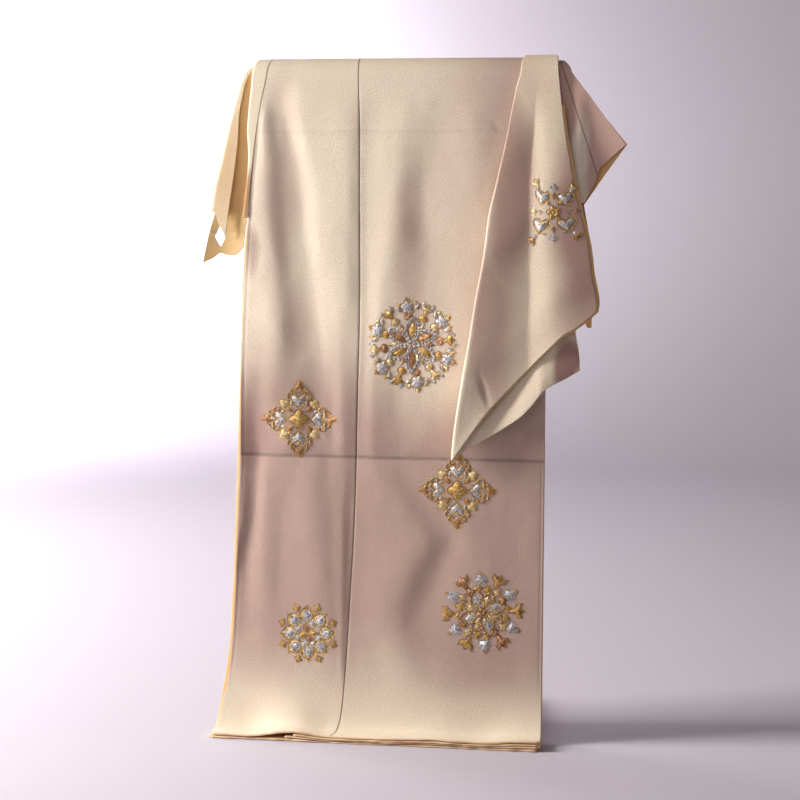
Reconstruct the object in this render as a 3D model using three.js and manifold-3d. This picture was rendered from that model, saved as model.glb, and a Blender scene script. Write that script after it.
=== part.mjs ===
// A homongi kimono shown as cloth: folded lengthwise down its centre back, laid over a low T-shaped
// stand, its hem resting forward on the table and both sleeves brought over the stand's right end.
// Millimetres. +X is the viewer's right, -Y the viewer's side, +Z up. The origin is on the table,
// under the middle of the rail, in the flat underside of the stand's foot.
import * as THREE from "three";
import { mergeVertices } from "three/addons/utils/BufferGeometryUtils.js";
import Module from "manifold-3d";

// Driving sizes of the stand.
const RAIL_RADIUS = 13;
const RAIL_HEIGHT = 907; // the centre of the rail's round top, above the table
const RAIL_UNDER = 10; // from that centre down to the rail's flat underside
const RAIL_HALF_LENGTH = 206;
const POST_RADIUS = 10.5;
const FOOT = { halfWidth: 150, front: -34, back: 150, thickness: 18, corner: 28, bevel: 2 };

// Driving sizes of the cloth.
const CREPE = 1.6; // a body panel, crepe and lining together
const PLY = 1.2; // one ply of a sleeve or a collar
const LINING_PLY = 0.9;
const PRESSED = 0.4; // between layers where they are pressed over the rail
const SEAM = 0.3; // between panels sewn side by side
const HEM_ROLL = 3.4; // the padded edge that the lining makes at the hem
const HEM_ROLL_LENGTH = 10;
const HEM_REACH = 98; // how far the hem lies in front of the rail
const BEND_TOP = 70; // where the layers begin to turn forward on to the table
const BEND_REACH = 24; // how far forward that turn takes them
const BACK_FOLD = 600; // height of the fold that ends the drape behind the rail
const BACK_FOLD_RADIUS = 3.6;
const BACK_TAIL = 24; // how far the cloth runs up again inside that fold
const INNER_END = BACK_FOLD + BACK_TAIL + 6; // where the inner layers end, above that tail
const COLLAR_END = 713; // height of the over collar's lower end

// Each layer's middle: its radius on the rail, its reach at the foot, its height on the table.
const UNDER = { rail: RAIL_RADIUS + PRESSED + CREPE / 2, foot: 44, table: HEM_ROLL / 2 };
const BACK = { rail: RAIL_RADIUS + 2 * PRESSED + 2 * CREPE + 0.1, foot: 51.5, table: 7.4 };
const OVER = { rail: RAIL_RADIUS + 3 * PRESSED + 3.6 * CREPE, foot: 60, table: 13.1 };
const OVER_LEFT = { rail: OVER.rail, foot: 53, table: 5.6 }; // beyond the fold of the back panels
const BACK_HEM_THICKNESS = 6.6;
const BACK_FOLD_BLEND = 24;

const lerp = THREE.MathUtils.lerp;
const clamp = THREE.MathUtils.clamp;
const rise = (low, high, x) => THREE.MathUtils.smoothstep(x, low, high);
const fall = (low, high, x) => 1 - rise(low, high, x);

// Reads rows of [place, value] as a smooth curve, level beyond its ends.
function curveOf(rows) {
  const slopes = rows.slice(1).map((row, i) => (row[1] - rows[i][1]) / (row[0] - rows[i][0]));
  const tangents = rows.map((_, i) => {
    const before = slopes[Math.max(i - 1, 0)];
    const after = slopes[Math.min(i, slopes.length - 1)];
    return before * after <= 0 ? 0 : (2 * before * after) / (before + after);
  });
  return (place) => {
    if (place <= rows[0][0]) return rows[0][1];
    const i = rows.findIndex((row) => row[0] > place) - 1;
    if (i < 0) return rows.at(-1)[1];
    const width = rows[i + 1][0] - rows[i][0];
    const t = (place - rows[i][0]) / width;
    const bend = (1 - t) * tangents[i] - t * tangents[i + 1];
    return lerp(rows[i][1], rows[i + 1][1], t * t * (3 - 2 * t)) + t * (1 - t) * width * bend;
  };
}

// Reads rows with named columns as one curve for each column after the first.
function curvesOf(columns, rows) {
  return Object.fromEntries(
    columns.slice(1).map((name, i) => [name, curveOf(rows.map((row) => [row[0], row[i + 1]]))]),
  );
}

// Lines down the drape, as [drop, across]: the drop is measured along the cloth, down the front
// from the rail, and is negative past the rail's front, over it and down behind.
const OVER_EDGE = curveOf([
  [-375, -78], [-60, -172], [-32, -185], [-6, -192], [6, -194], [46, -202], [89, -208.5],
  [143, -214], [194, -218], [306, -225], [443, -229], [513, -230], [666, -236], [778, -242],
  [835, -249], [864, -256], [905, -264],
]);
const OVER_SEAM = curveOf([
  [-375, -68], [345, -67.5], [550, -71], [647, -76], [745, -82], [829, -86], [880, -90], [918, -96],
]);
const OVER_SIDE = curveOf([[-375, 186], [-40, 189], [880, 190], [918, 191]]);
const UNDER_EDGE = curveOf([
  [-375, -80], [-60, -174], [-20, -194], [60, -201], [160, -214], [230, -226], [443, -234],
  [640, -241], [778, -248], [864, -260], [905, -266.5],
]);
const UNDER_SEAM = curveOf([[-375, -68], [550, -74], [829, -88], [918, -99]]);
const UNDER_SIDE = curveOf([[-375, 184], [0, 186], [918, 188]]);
const BACK_EDGE = curveOf([[-375, -56], [-60, -112], [0, -125], [918, -142]]);
const BACK_SIDE = curveOf([[-375, 185], [0, 187.5], [918, 189.5]]);

// How high the layers swell along the hem, as [across, share of their full height].
const HEM_SWELL = curveOf([
  [-265, 1.05], [-211, 0.85], [-171, 1.05], [-142, 0.97], [-104, 0.64], [-65, 0.6], [0, 0.7],
  [48, 0.8], [100, 0.68], [160, 0.96], [186, 1.02],
]);

// Soft folds of the over layer, each a ridge from a top point to a bottom point on the front.
const FOLD_COLUMNS = ["xTop", "zTop", "xBottom", "zBottom", "halfWidth", "height"];
const FOLDS = [
  [-196, 760, -212, 380, 15, 4.5],
  [-128, 840, -112, 420, 30, 5],
  [-48, 905, -50, 420, 15, 3.5],
  [60, 880, 38, 520, 28, 5],
  [-20, 905, 14, 780, 12, 2],
  [58, 360, 6, 120, 24, 4.5],
  [140, 370, 128, 190, 20, 3],
  [-190, 330, -215, 110, 18, 4],
  [-120, 320, -128, 180, 22, 2.5],
].map((row) => Object.fromEntries(FOLD_COLUMNS.map((name, i) => [name, row[i]])));
const FOLD_FADE = 60; // how far past its ends a ridge dies away
const STORAGE_CREASES = [
  { height: 386, depth: 2.6, reach: 26 },
  { height: 830, depth: 0.9, reach: 16 },
];
const SLACK = 2.6; // how far the over layer stands off the layers behind it

// How far the over layer stands out from its plain drape at a place on the front.
function overRelief(x, drop) {
  const z = RAIL_HEIGHT - drop;
  const ridges = FOLDS.reduce((sum, fold) => {
    const along = clamp((fold.zTop - z) / (fold.zTop - fold.zBottom), 0, 1);
    const middle = lerp(fold.xTop, fold.xBottom, along);
    const past = Math.max(z - fold.zTop, fold.zBottom - z, 0);
    const strength = Math.exp(-((past / FOLD_FADE) ** 2)) * Math.sin(Math.PI * lerp(0.16, 0.84, along));
    return sum + fold.height * strength * Math.exp(-(((x - middle) / fold.halfWidth) ** 2));
  }, 0);
  const creases = STORAGE_CREASES.reduce(
    (sum, crease) => sum + crease.depth * Math.exp(-Math.abs(z - crease.height) / crease.reach),
    0,
  );
  return rise(0, 60, drop) * fall(800, 850, drop) * (SLACK + ridges - creases);
}

// The drape's side view, from the hem up the front, over the rail and down behind.
function drapePath({ rail, foot, table }, end) {
  const path = new THREE.Path();
  const lean = (foot - rail) / (RAIL_HEIGHT - BEND_TOP);
  path.moveTo(-HEM_REACH, table);
  path.lineTo(-foot - BEND_REACH, table);
  path.quadraticCurveTo(-foot - lean * (BEND_TOP - table), table, -foot, BEND_TOP);
  path.lineTo(-rail, RAIL_HEIGHT);
  path.absarc(0, RAIL_HEIGHT, rail, Math.PI, 0, true);
  path.lineTo(rail, end);
  return path;
}

// The over layer ends behind in a fold, with a short tail inside it.
function foldedPath(layer) {
  const path = drapePath(layer, BACK_FOLD);
  const middle = layer.rail - BACK_FOLD_RADIUS;
  path.absarc(middle, BACK_FOLD, BACK_FOLD_RADIUS, 0, -Math.PI, true);
  path.lineTo(middle - BACK_FOLD_RADIUS, BACK_FOLD + BACK_TAIL);
  return path;
}

const BEFORE_RAIL = 3; // curves of a drape's path between the hem and the rail
// Steps in each curve of a path. Every layer has the same number on the rail, so that they nest.
const FOLDED_STEPS = [2, 5, 15, 7, 4, 4, 1];
const EDGE_STEPS = [2, 5, 9, 7, 3];
const HIDDEN_STEPS = [2, 5, 3, 7, 1];
const rowsIn = (steps) => steps.reduce((sum, count) => sum + count, 0);

// Walks a path, v from 0 to 1, with a number of steps in each of its curves. It gives the point,
// the way on, and the drop, counting down from the end of the curves before the rail.
function walk(path, steps, beforeRail) {
  const total = rowsIn(steps);
  const lengths = path.curves.map((curve) => curve.getLength());
  const runTo = (i) => lengths.slice(0, i).reduce((sum, length) => sum + length, 0);
  return (v) => {
    let step = clamp(v, 0, 1) * total;
    let i = 0;
    while (i < steps.length - 1 && step > steps[i]) {
      step -= steps[i];
      i += 1;
    }
    const t = Math.min(step / steps[i], 1);
    const point = path.curves[i].getPointAt(t);
    const way = path.curves[i].getTangentAt(t);
    return { y: point.x, z: point.y, way, drop: runTo(beforeRail) - runTo(i) - lengths[i] * t };
  };
}

// A closed wall of cloth: a fine box bent on to a surface. Its front is on the side that the
// surface's u, then its v, turn to.
function clothWall(columns, rows, surface, thickness) {
  const geometry = new THREE.BoxGeometry(1, 1, 1, columns, rows, 1);
  const position = geometry.getAttribute("position");
  const step = 1e-4;
  const across = new THREE.Vector3();
  const along = new THREE.Vector3();
  const normal = new THREE.Vector3();
  for (let i = 0; i < position.count; i += 1) {
    const u = Math.round((position.getX(i) + 0.5) * columns) / columns;
    const v = Math.round((position.getY(i) + 0.5) * rows) / rows;
    const side = position.getZ(i);
    across.subVectors(surface(Math.min(u + step, 1), v), surface(Math.max(u - step, 0), v));
    along.subVectors(surface(u, Math.min(v + step, 1)), surface(u, Math.max(v - step, 0)));
    normal.crossVectors(across, along).normalize();
    const point = surface(u, v).addScaledVector(normal, side * thickness(u, v));
    position.setXYZ(i, point.x, point.y, point.z);
  }
  geometry.deleteAttribute("normal");
  geometry.deleteAttribute("uv");
  return geometry;
}

// Presses a height on the table down, or lets it swell, with the hem.
function hemHeight(x, z) {
  return z * lerp(HEM_SWELL(x), 1, rise(14, BEND_TOP, z));
}

// The thickness of a body layer: a padded roll at the hem, and plain cloth above it.
function layerThickness(x, drop, hemDrop) {
  const roll = HEM_ROLL * HEM_SWELL(x);
  return lerp(roll, CREPE, rise(HEM_ROLL_LENGTH * 0.6, HEM_ROLL_LENGTH * 2, hemDrop - drop));
}

// One panel of the over layer, between two of its lines.
function overPanel(leftLine, rightLine, columns) {
  const right = walk(foldedPath(OVER), FOLDED_STEPS, BEFORE_RAIL);
  const left = walk(foldedPath(OVER_LEFT), FOLDED_STEPS, BEFORE_RAIL);
  const hemDrop = right(0).drop;
  const acrossAt = (u, drop) => lerp(leftLine(drop), rightLine(drop), u);
  const surface = (u, v) => {
    const [a, b] = [left(v), right(v)];
    const x = acrossAt(u, b.drop);
    const stacked = rise(BACK_EDGE(hemDrop) - BACK_FOLD_BLEND, BACK_EDGE(hemDrop) + 4, x);
    const z = hemHeight(x, lerp(a.z, b.z, stacked));
    return new THREE.Vector3(x, lerp(a.y, b.y, stacked) - overRelief(x, b.drop), z);
  };
  const thickness = (u, v) => layerThickness(acrossAt(u, right(v).drop), right(v).drop, hemDrop);
  return clothWall(columns, rowsIn(FOLDED_STEPS), surface, thickness);
}

// One panel of the under layer, whose edge shows at the left and whose hem lies lowest.
function underPanel(leftLine, rightLine, columns, steps) {
  const at = walk(drapePath(UNDER, INNER_END), steps, BEFORE_RAIL);
  const hemDrop = at(0).drop;
  const acrossAt = (u, drop) => lerp(leftLine(drop), rightLine(drop), u);
  const surface = (u, v) => {
    const { y, z, drop } = at(v);
    const x = acrossAt(u, drop);
    return new THREE.Vector3(x, y, hemHeight(x, z));
  };
  const thickness = (u, v) => layerThickness(acrossAt(u, at(v).drop), at(v).drop, hemDrop);
  return clothWall(columns, rowsIn(steps), surface, thickness);
}

// The two back panels, folded together down the centre back: one solid with a rounded fold.
function backPanels() {
  const at = walk(drapePath(BACK, INNER_END), HIDDEN_STEPS, BEFORE_RAIL);
  const hemDrop = at(0).drop;
  const acrossAt = (u, drop) => lerp(BACK_EDGE(drop), BACK_SIDE(drop), u);
  const surface = (u, v) => {
    const { y, z, drop } = at(v);
    const x = acrossAt(u, drop);
    return new THREE.Vector3(x, y, hemHeight(x, z));
  };
  const thickness = (u, v) => {
    const swell = HEM_SWELL(acrossAt(u, at(v).drop));
    const thick = lerp(BACK_HEM_THICKNESS * swell, 2 * CREPE, rise(12, 50, hemDrop - at(v).drop));
    return thick * lerp(0.5, 1, rise(0, 1 / 7, u));
  };
  return clothWall(14, rowsIn(HIDDEN_STEPS), surface, thickness);
}

// The over side's collar: a strip beside the overlap's edge that turns back on itself at its left.
const COLLAR_WIDTH = curveOf([
  [-375, 52], [-60, 30], [-32, 20.5], [-6, 20.5], [20, 18], [55, 14.5], [75, 14.5], [116, 7],
  [150, 6], [194, 8],
]);
const COLLAR_TURN = 2; // radius of that turn
const COLLAR_SHARE = { face: 0.55, turned: 0.85 }; // of its columns: the face, then the turn
const COLLAR_STEPS = [7, 7, 4];

function leanAt(layer, z) {
  return lerp(layer.foot, layer.rail, clamp((z - BEND_TOP) / (RAIL_HEIGHT - BEND_TOP), 0, 1));
}

function overCollar() {
  const path = new THREE.Path();
  path.moveTo(-leanAt(OVER, COLLAR_END), COLLAR_END);
  path.lineTo(-OVER.rail, RAIL_HEIGHT);
  path.absarc(0, RAIL_HEIGHT, OVER.rail, Math.PI, 0, true);
  path.lineTo(OVER.rail, BACK_FOLD - 2);
  const at = walk(path, COLLAR_STEPS, 1);
  const { face, turned } = COLLAR_SHARE;
  const surface = (u, v) => {
    const { y, z, way, drop } = at(v);
    const width = COLLAR_WIDTH(drop) - COLLAR_TURN;
    const angle = Math.PI * clamp((u - face) / (turned - face), 0, 1);
    const across = Math.min(u / face, 1) * width + COLLAR_TURN * Math.sin(angle);
    const inside = (Math.max(u - turned, 0) / (1 - turned)) * Math.min(width, 3);
    const depth = COLLAR_TURN * (1 - Math.cos(angle));
    const relief = overRelief(OVER_EDGE(drop), drop);
    const x = OVER_EDGE(drop) - SEAM - across + inside;
    return new THREE.Vector3(x, y + way.y * depth - relief, z - way.x * depth);
  };
  return clothWall(9, rowsIn(COLLAR_STEPS), (u, v) => surface(1 - u, v), () => PLY);
}

// The under side's collar leaves the rail's left end: its lining is turned to the viewer, and at
// its left it rolls round to the crepe face, which lies over the lining. Rows run down the front.
const COLLAR_SEAM = 1.1;
const FREE_COLLAR = curvesOf(
  ["drop", "outline", "lip", "roll"],
  [
    [-330, -118, -117, 0.9],
    [-60, -202, -200, 0.9],
    [-22, -211, -208, 0.9],
    [-7, -219, -214, 0.9],
    [7, -227, -222, 1.4],
    [28, -234, -227.5, 2],
    [56, -242, -232.5, 2.6],
    [86, -250, -234, 3.2],
    [119, -258, -237.5, 3.8],
    [157, -268, -243, 4.2],
    [188, -274, -248, 4.6],
    [213, -282, -251, 4.6],
    [259, -291, -256, 3],
  ],
);
// Its lower edges, as [across, height]: of the crepe face, then of the lining.
const FACE_END = curveOf([[-276, 720], [-262, 702], [-253, 690], [-247, 682]]);
const LINING_END = curveOf([
  [-292, 648], [-276, 656], [-262, 664], [-257, 662], [-246, 660.5], [-238, 662], [-231, 668],
  [-224, 676],
]);
const TWIST_GAP = [[-262, 701], [-254.5, 685], [-261, 672], [-269.5, 686]]; // open, as [x, z]
const FACE_TOP = 914;

function freeCollarDepth(z, u) {
  const hang = clamp((RAIL_HEIGHT - z) / (RAIL_HEIGHT - 650), 0, 1);
  return -leanAt(UNDER, z) + 7 * hang * u + 3.5 * hang * Math.sin(Math.PI * u);
}

function freeCollarLining() {
  const steps = { front: 13, over: 6, behind: 2 };
  const rows = steps.front + steps.over + steps.behind;
  const surface = (u, v) => {
    const row = v * rows;
    const lifted = clamp(row / steps.front, 0, 1);
    const angle = Math.PI * clamp((row - steps.front) / steps.over, 0, 1);
    const behind = clamp((row - steps.front - steps.over) / steps.behind, 0, 1);
    const guess = (1 - lifted) * (RAIL_HEIGHT - 664);
    const reach = lerp(UNDER_EDGE(guess), FREE_COLLAR.outline(guess), u);
    const hung = lerp(LINING_END(reach), RAIL_HEIGHT, lifted);
    const z = hung + UNDER.rail * Math.sin(angle) - behind * (RAIL_HEIGHT - INNER_END);
    const drop = lifted < 1 ? RAIL_HEIGHT - hung : -UNDER.rail * angle - behind * (RAIL_HEIGHT - INNER_END);
    const outer = FREE_COLLAR.outline(drop) + FREE_COLLAR.roll(drop) + 2 * SEAM;
    const y = lifted < 1 ? freeCollarDepth(hung, u) : -UNDER.rail * Math.cos(angle);
    return new THREE.Vector3(lerp(UNDER_EDGE(drop) - COLLAR_SEAM, outer, u), y, z);
  };
  return clothWall(8, rows, (u, v) => surface(1 - u, v), () => PLY);
}

// The crepe face, from its free lip to the outline and round it to the lining's edge.
function freeCollarFace() {
  const round = 0.5; // share of its columns before the roll
  const surface = (u, v) => {
    const guess = RAIL_HEIGHT - lerp(700, FACE_TOP, v);
    const flat = Math.min(u / round, 1);
    const angle = Math.PI * clamp((u - round) / (1 - round), 0, 1);
    const reach = lerp(FREE_COLLAR.lip(guess), FREE_COLLAR.outline(guess), flat);
    const z = lerp(FACE_END(reach), FACE_TOP, v);
    const drop = RAIL_HEIGHT - z;
    const roll = FREE_COLLAR.roll(drop);
    const edge = FREE_COLLAR.outline(drop) + roll;
    const x = lerp(FREE_COLLAR.lip(drop), edge, flat) - roll * Math.sin(angle);
    const back = drop < 0 ? -Math.sqrt(UNDER.rail ** 2 - drop ** 2) : freeCollarDepth(z, 1);
    const front = back - Math.max(2 * roll, PLY + SEAM);
    return new THREE.Vector3(x, lerp(front, back, (1 - Math.cos(angle)) / 2), z);
  };
  return clothWall(10, 14, (u, v) => surface(1 - u, v), () => PLY);
}

const manifold = await Module();
manifold.setup();

function solidOf(geometry) {
  const bare = geometry.clone();
  bare.deleteAttribute("normal");
  bare.deleteAttribute("uv");
  const merged = mergeVertices(bare);
  return new manifold.Manifold(
    new manifold.Mesh({
      numProp: 3,
      vertProperties: merged.getAttribute("position").array,
      triVerts: Uint32Array.from(merged.getIndex().array),
    }),
  );
}

// Cuts a prism, its corners given as [x, z], through a wall.
function cutThrough(wall, corners) {
  const outline = new THREE.Shape(corners.map(([x, z]) => new THREE.Vector2(x, z)));
  const prism = new THREE.ExtrudeGeometry(outline, { depth: 120, bevelEnabled: false });
  prism.rotateX(Math.PI / 2).translate(0, 60, 0);
  const mesh = solidOf(wall).subtract(solidOf(prism)).getMesh();
  const geometry = new THREE.BufferGeometry();
  geometry.setAttribute("position", new THREE.BufferAttribute(mesh.vertProperties, 3));
  return geometry.setIndex(new THREE.BufferAttribute(mesh.triVerts, 1));
}

// The near sleeve, hung from its armhole behind the rail: a bag folded down its left side,
// gathered over the rail. Lines down it, as [drop, across].
const SLEEVE_FOLD = curveOf([
  [0, 152], [23, 142], [89, 129], [150, 117], [187, 108], [247, 100], [301, 90], [354, 82],
  [421, 71], [495, 62.5], [516, 63.5],
]);
const SLEEVE_RIGHT = curveOf([
  [0, 201.5], [37, 206], [89, 214], [129, 222], [164, 229], [197, 237], [230, 246], [267, 251],
  [308, 258], [315, 257],
]);
const SLEEVE_INNER = curveOf([[0, 199], [207, 214], [345, 230], [376, 235], [394, 236]]);
const SLEEVE_END = { fold: 516, face: 315, inner: 394 }; // drops of the lower edge's corners
// How far the lower edge lies above a straight line between those corners, as [across, mm].
const FACE_RISE = curveOf([[0, 0], [0.3, 17], [0.52, 17], [0.75, 15], [0.88, 5], [1, 0]]);
const INNER_RISE = curveOf([
  [0, 0], [0.22, -3], [0.38, -6], [0.52, -7], [0.6, -4], [0.74, 7], [0.89, 2.5], [1, 0],
]);
const SLEEVE_SHARE = { face: 0.5, turned: 0.62 }; // of the columns: the face, then the fold
const SLEEVE_STEPS = { behind: 2, over: 7, front: 16 };
const SLEEVE_WAVE = { first: 0.12, length: 0.66, height: 16 };
const SLEEVE_PLIES = 8; // how far the plies part towards the lower edge
// Each sleeve's armhole behind the rail: where its seam lies, and how far the sleeve draws in to it
// on top of the rail and at its end.
const ARMHOLE_HEIGHT = 700;
const NEAR_ARMHOLE = { x: 186, onRail: 0.14, end: 0.82 };
const FAR_ARMHOLE = { x: 192.5, onRail: 0.45, end: 0.82 };
const SLEEVE_RAIL = OVER.rail + CREPE / 2 + PRESSED + PLY / 2;

function innerDepth(drop, hang) {
  const off = SLEEVE_RAIL - OVER.rail + 4 * rise(0, 60, drop) + 7 * rise(0, 0.5, hang);
  return -leanAt(OVER, RAIL_HEIGHT - drop) - off;
}

function faceDepth(drop, hang, across) {
  const turns = (across - SLEEVE_WAVE.first) / SLEEVE_WAVE.length;
  const wave = 0.5 + 0.5 * Math.cos(2 * Math.PI * turns);
  const swell = SLEEVE_WAVE.height * rise(0, 0.12, hang) * (0.3 + 0.7 * Math.sqrt(Math.max(hang, 0)));
  const nearCorner = 1 - 0.6 * rise(0.75, 1, hang) * fall(0.1, 0.4, across);
  const plies = PLY + PRESSED + SLEEVE_PLIES * rise(0, 0.5, hang);
  return innerDepth(drop, hang) - plies - swell * wave * nearCorner;
}

// A point of the near sleeve. Share runs from the face's right edge, round the fold, to the inner
// ply's right edge; hang is 0 at the rail and 1 at the lower edge.
function sleevePoint(share, hang) {
  const { face, turned } = SLEEVE_SHARE;
  const foldDrop = SLEEVE_END.fold * hang;
  const yFace = faceDepth(foldDrop, hang, 0);
  const yInner = innerDepth(foldDrop, hang);
  const turn = (yInner - yFace) / 2;
  const middle = SLEEVE_FOLD(foldDrop) + turn;
  if (share > face && share < turned) {
    const angle = (Math.PI * (share - face)) / (turned - face);
    const y = (yInner + yFace) / 2 - turn * Math.cos(angle);
    return new THREE.Vector3(middle - turn * Math.sin(angle), y, RAIL_HEIGHT - foldDrop);
  }
  const onFace = share <= face;
  const across = onFace ? 1 - share / face : (share - turned) / (1 - turned);
  const rightDrop = hang * (onFace ? SLEEVE_END.face : SLEEVE_END.inner);
  const lift = hang ** 3 * (onFace ? FACE_RISE(across) : INNER_RISE(across));
  const drop = lerp(foldDrop, rightDrop, across) - lift;
  const right = onFace ? SLEEVE_RIGHT(rightDrop) : SLEEVE_INNER(rightDrop);
  const settled = lerp(yFace, faceDepth(drop, hang, across), rise(0, 0.12, across));
  const y = onFace ? settled : innerDepth(drop, hang);
  return new THREE.Vector3(lerp(middle, right, across), y, RAIL_HEIGHT - drop);
}

// Takes the rows of a sleeve from its armhole up behind, over the rail and down in front. Behind,
// they draw in sideways to the armhole's seam.
function overRail(front, steps, armhole) {
  const total = steps.behind + steps.over + steps.front;
  return (share, v) => {
    const row = (1 - v) * total;
    if (row > steps.behind + steps.over) {
      return front(share, (row - steps.behind - steps.over) / steps.front);
    }
    const point = front(share, 0);
    const radius = -point.y;
    const angle = Math.PI * (1 - clamp((row - steps.behind) / steps.over, 0, 1));
    const down = 1 - Math.min(row / steps.behind, 1);
    const drawn = lerp(armhole.onRail * rise(0, Math.PI / 2, angle), armhole.end, down);
    const z = RAIL_HEIGHT + radius * Math.sin(angle) - down * (RAIL_HEIGHT - ARMHOLE_HEIGHT);
    return new THREE.Vector3(lerp(point.x, armhole.x, drawn), -radius * Math.cos(angle), z);
  };
}

function nearSleeve() {
  const surface = overRail(sleevePoint, SLEEVE_STEPS, NEAR_ARMHOLE);
  const rows = SLEEVE_STEPS.behind + SLEEVE_STEPS.over + SLEEVE_STEPS.front;
  return clothWall(23, rows, (u, v) => surface(1 - u, v), () => PLY);
}

// The lining that rolls out past the near sleeve's open edge: down its right side, then along its
// lower edge to the fold.
function nearSleeveLining() {
  const band = { inside: 14, lip: 1.8, behind: 1.9, corner: 0.5, from: 0.14, to: 0.42 };
  const surface = (u, v) => {
    const side = Math.min(v / band.corner, 1);
    const below = Math.max((v - band.corner) / (1 - band.corner), 0);
    const hang = lerp(band.from, 1, side);
    const inset = lerp(-band.lip, band.inside, u);
    const width = SLEEVE_RIGHT(hang * SLEEVE_END.face) - SLEEVE_FOLD(hang * SLEEVE_END.fold);
    const length = lerp(SLEEVE_END.face, SLEEVE_END.fold, below);
    const sideways = (inset / width) * SLEEVE_SHARE.face * fall(0, 0.25, below);
    const upward = (inset / length) * rise(0.85, 1, side);
    const point = sleevePoint(below * band.to + sideways, hang - upward);
    point.y += band.behind;
    return point;
  };
  return clothWall(3, 30, (u, v) => surface(u, 1 - v), () => LINING_PLY);
}

// The far sleeve, behind the near one: its upper outer corner stands out past the rail's end.
// Its two plies, as rows down the front.
const FAR_COLUMNS = ["drop", "left", "right", "yLeft", "yRight"];
const FAR_FACE = [
  [0, 191.5, 219, -15.9, -15.9],
  [27, 194, 240, -18.5, -17.5],
  [62, 197, 266, -21.5, -18.5],
  [95, 200, 292, -24, -19.5],
  [126, 203, 258, -26.5, -23],
  [150, 206, 250, -28.5, -25.5],
  [172, 208, 238, -30.5, -28.5],
];
const FAR_INNER = [
  [0, 191.5, 219, -14.2, -14.2],
  [27, 194, 240, -15, -15.2],
  [62, 197, 266, -16, -16],
  [95, 200, 293.5, -17, -16.5],
  [135, 204, 265, -19.5, -19],
  [175, 208, 237.5, -23, -22.5],
  [207, 211, 243.5, -26.5, -27],
  [247, 215, 251.5, -30.5, -32],
  [297, 220, 252, -35.5, -37.5],
  [338, 245, 250, -39.5, -40.5],
];
const FAR_RIDGE = { at: 0.42, width: 0.2, height: 7.5 };

function farSleevePly(rows, ridge, columns, rowsEach) {
  const steps = { behind: 1, over: 6, front: rowsEach * (rows.length - 1) };
  const columnAt = (row, name) => {
    const i = Math.min(Math.floor(row), rows.length - 2);
    const column = FAR_COLUMNS.indexOf(name);
    return lerp(rows[i][column], rows[i + 1][column], row - i);
  };
  const front = (u, hang) => {
    const row = hang * (rows.length - 1);
    const crest = Math.exp(-(((u - FAR_RIDGE.at) / FAR_RIDGE.width) ** 2));
    const x = lerp(columnAt(row, "left"), columnAt(row, "right"), u);
    const y = lerp(columnAt(row, "yLeft"), columnAt(row, "yRight"), u);
    const out = ridge * crest * rise(0, 0.5, hang);
    return new THREE.Vector3(x, y - out, RAIL_HEIGHT - columnAt(row, "drop"));
  };
  const surface = overRail(front, steps, FAR_ARMHOLE);
  return clothWall(columns, steps.behind + steps.over + steps.front, surface, () => PLY);
}

// The stand: a foot, a post and a rail with a rounded top and a flat underside.
function standFoot() {
  const { halfWidth, front, back, thickness, corner, bevel } = FOOT;
  const inset = corner + bevel;
  const shape = new THREE.Shape();
  shape.absarc(halfWidth - inset, back - inset, corner, 0, Math.PI / 2);
  shape.absarc(-halfWidth + inset, back - inset, corner, Math.PI / 2, Math.PI);
  shape.absarc(-halfWidth + inset, front + inset, corner, Math.PI, 1.5 * Math.PI);
  shape.absarc(halfWidth - inset, front + inset, corner, 1.5 * Math.PI, 2 * Math.PI);
  const geometry = new THREE.ExtrudeGeometry(shape, {
    depth: thickness - 2 * bevel,
    bevelThickness: bevel,
    bevelSize: bevel,
    bevelSegments: 2,
    curveSegments: 6,
  });
  return geometry.translate(0, 0, bevel);
}

function standPost() {
  const height = RAIL_HEIGHT - RAIL_UNDER - SEAM - FOOT.thickness;
  const geometry = new THREE.CylinderGeometry(POST_RADIUS, POST_RADIUS, height, 24);
  return geometry.rotateX(Math.PI / 2).translate(0, 0, FOOT.thickness + height / 2);
}

function standRail() {
  const bevel = 1.5;
  const radius = RAIL_RADIUS - bevel;
  const section = new THREE.Shape();
  section.moveTo(radius, -RAIL_UNDER + bevel);
  section.absarc(0, 0, radius, 0, Math.PI);
  section.lineTo(-radius, -RAIL_UNDER + bevel);
  const geometry = new THREE.ExtrudeGeometry(section, {
    depth: 2 * (RAIL_HALF_LENGTH - bevel),
    bevelThickness: bevel,
    bevelSize: bevel,
    bevelSegments: 2,
    curveSegments: 14,
  });
  geometry.translate(0, 0, bevel - RAIL_HALF_LENGTH);
  return geometry.rotateX(Math.PI / 2).rotateZ(Math.PI / 2).translate(0, 0, RAIL_HEIGHT);
}

const CREPE_FINISH = { color: 0xc9b1a0, roughness: 0.62, metalness: 0 };
const LINING_FINISH = { color: 0xd9b071, roughness: 0.5, metalness: 0 };
const WOOD_FINISH = { color: 0x5a3c28, roughness: 0.45, metalness: 0 };

function piece(name, geometry, finish) {
  const mesh = new THREE.Mesh(geometry, new THREE.MeshStandardMaterial(finish));
  mesh.name = name;
  return mesh;
}

const beside = (line, gap) => (drop) => line(drop) + gap;

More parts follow.
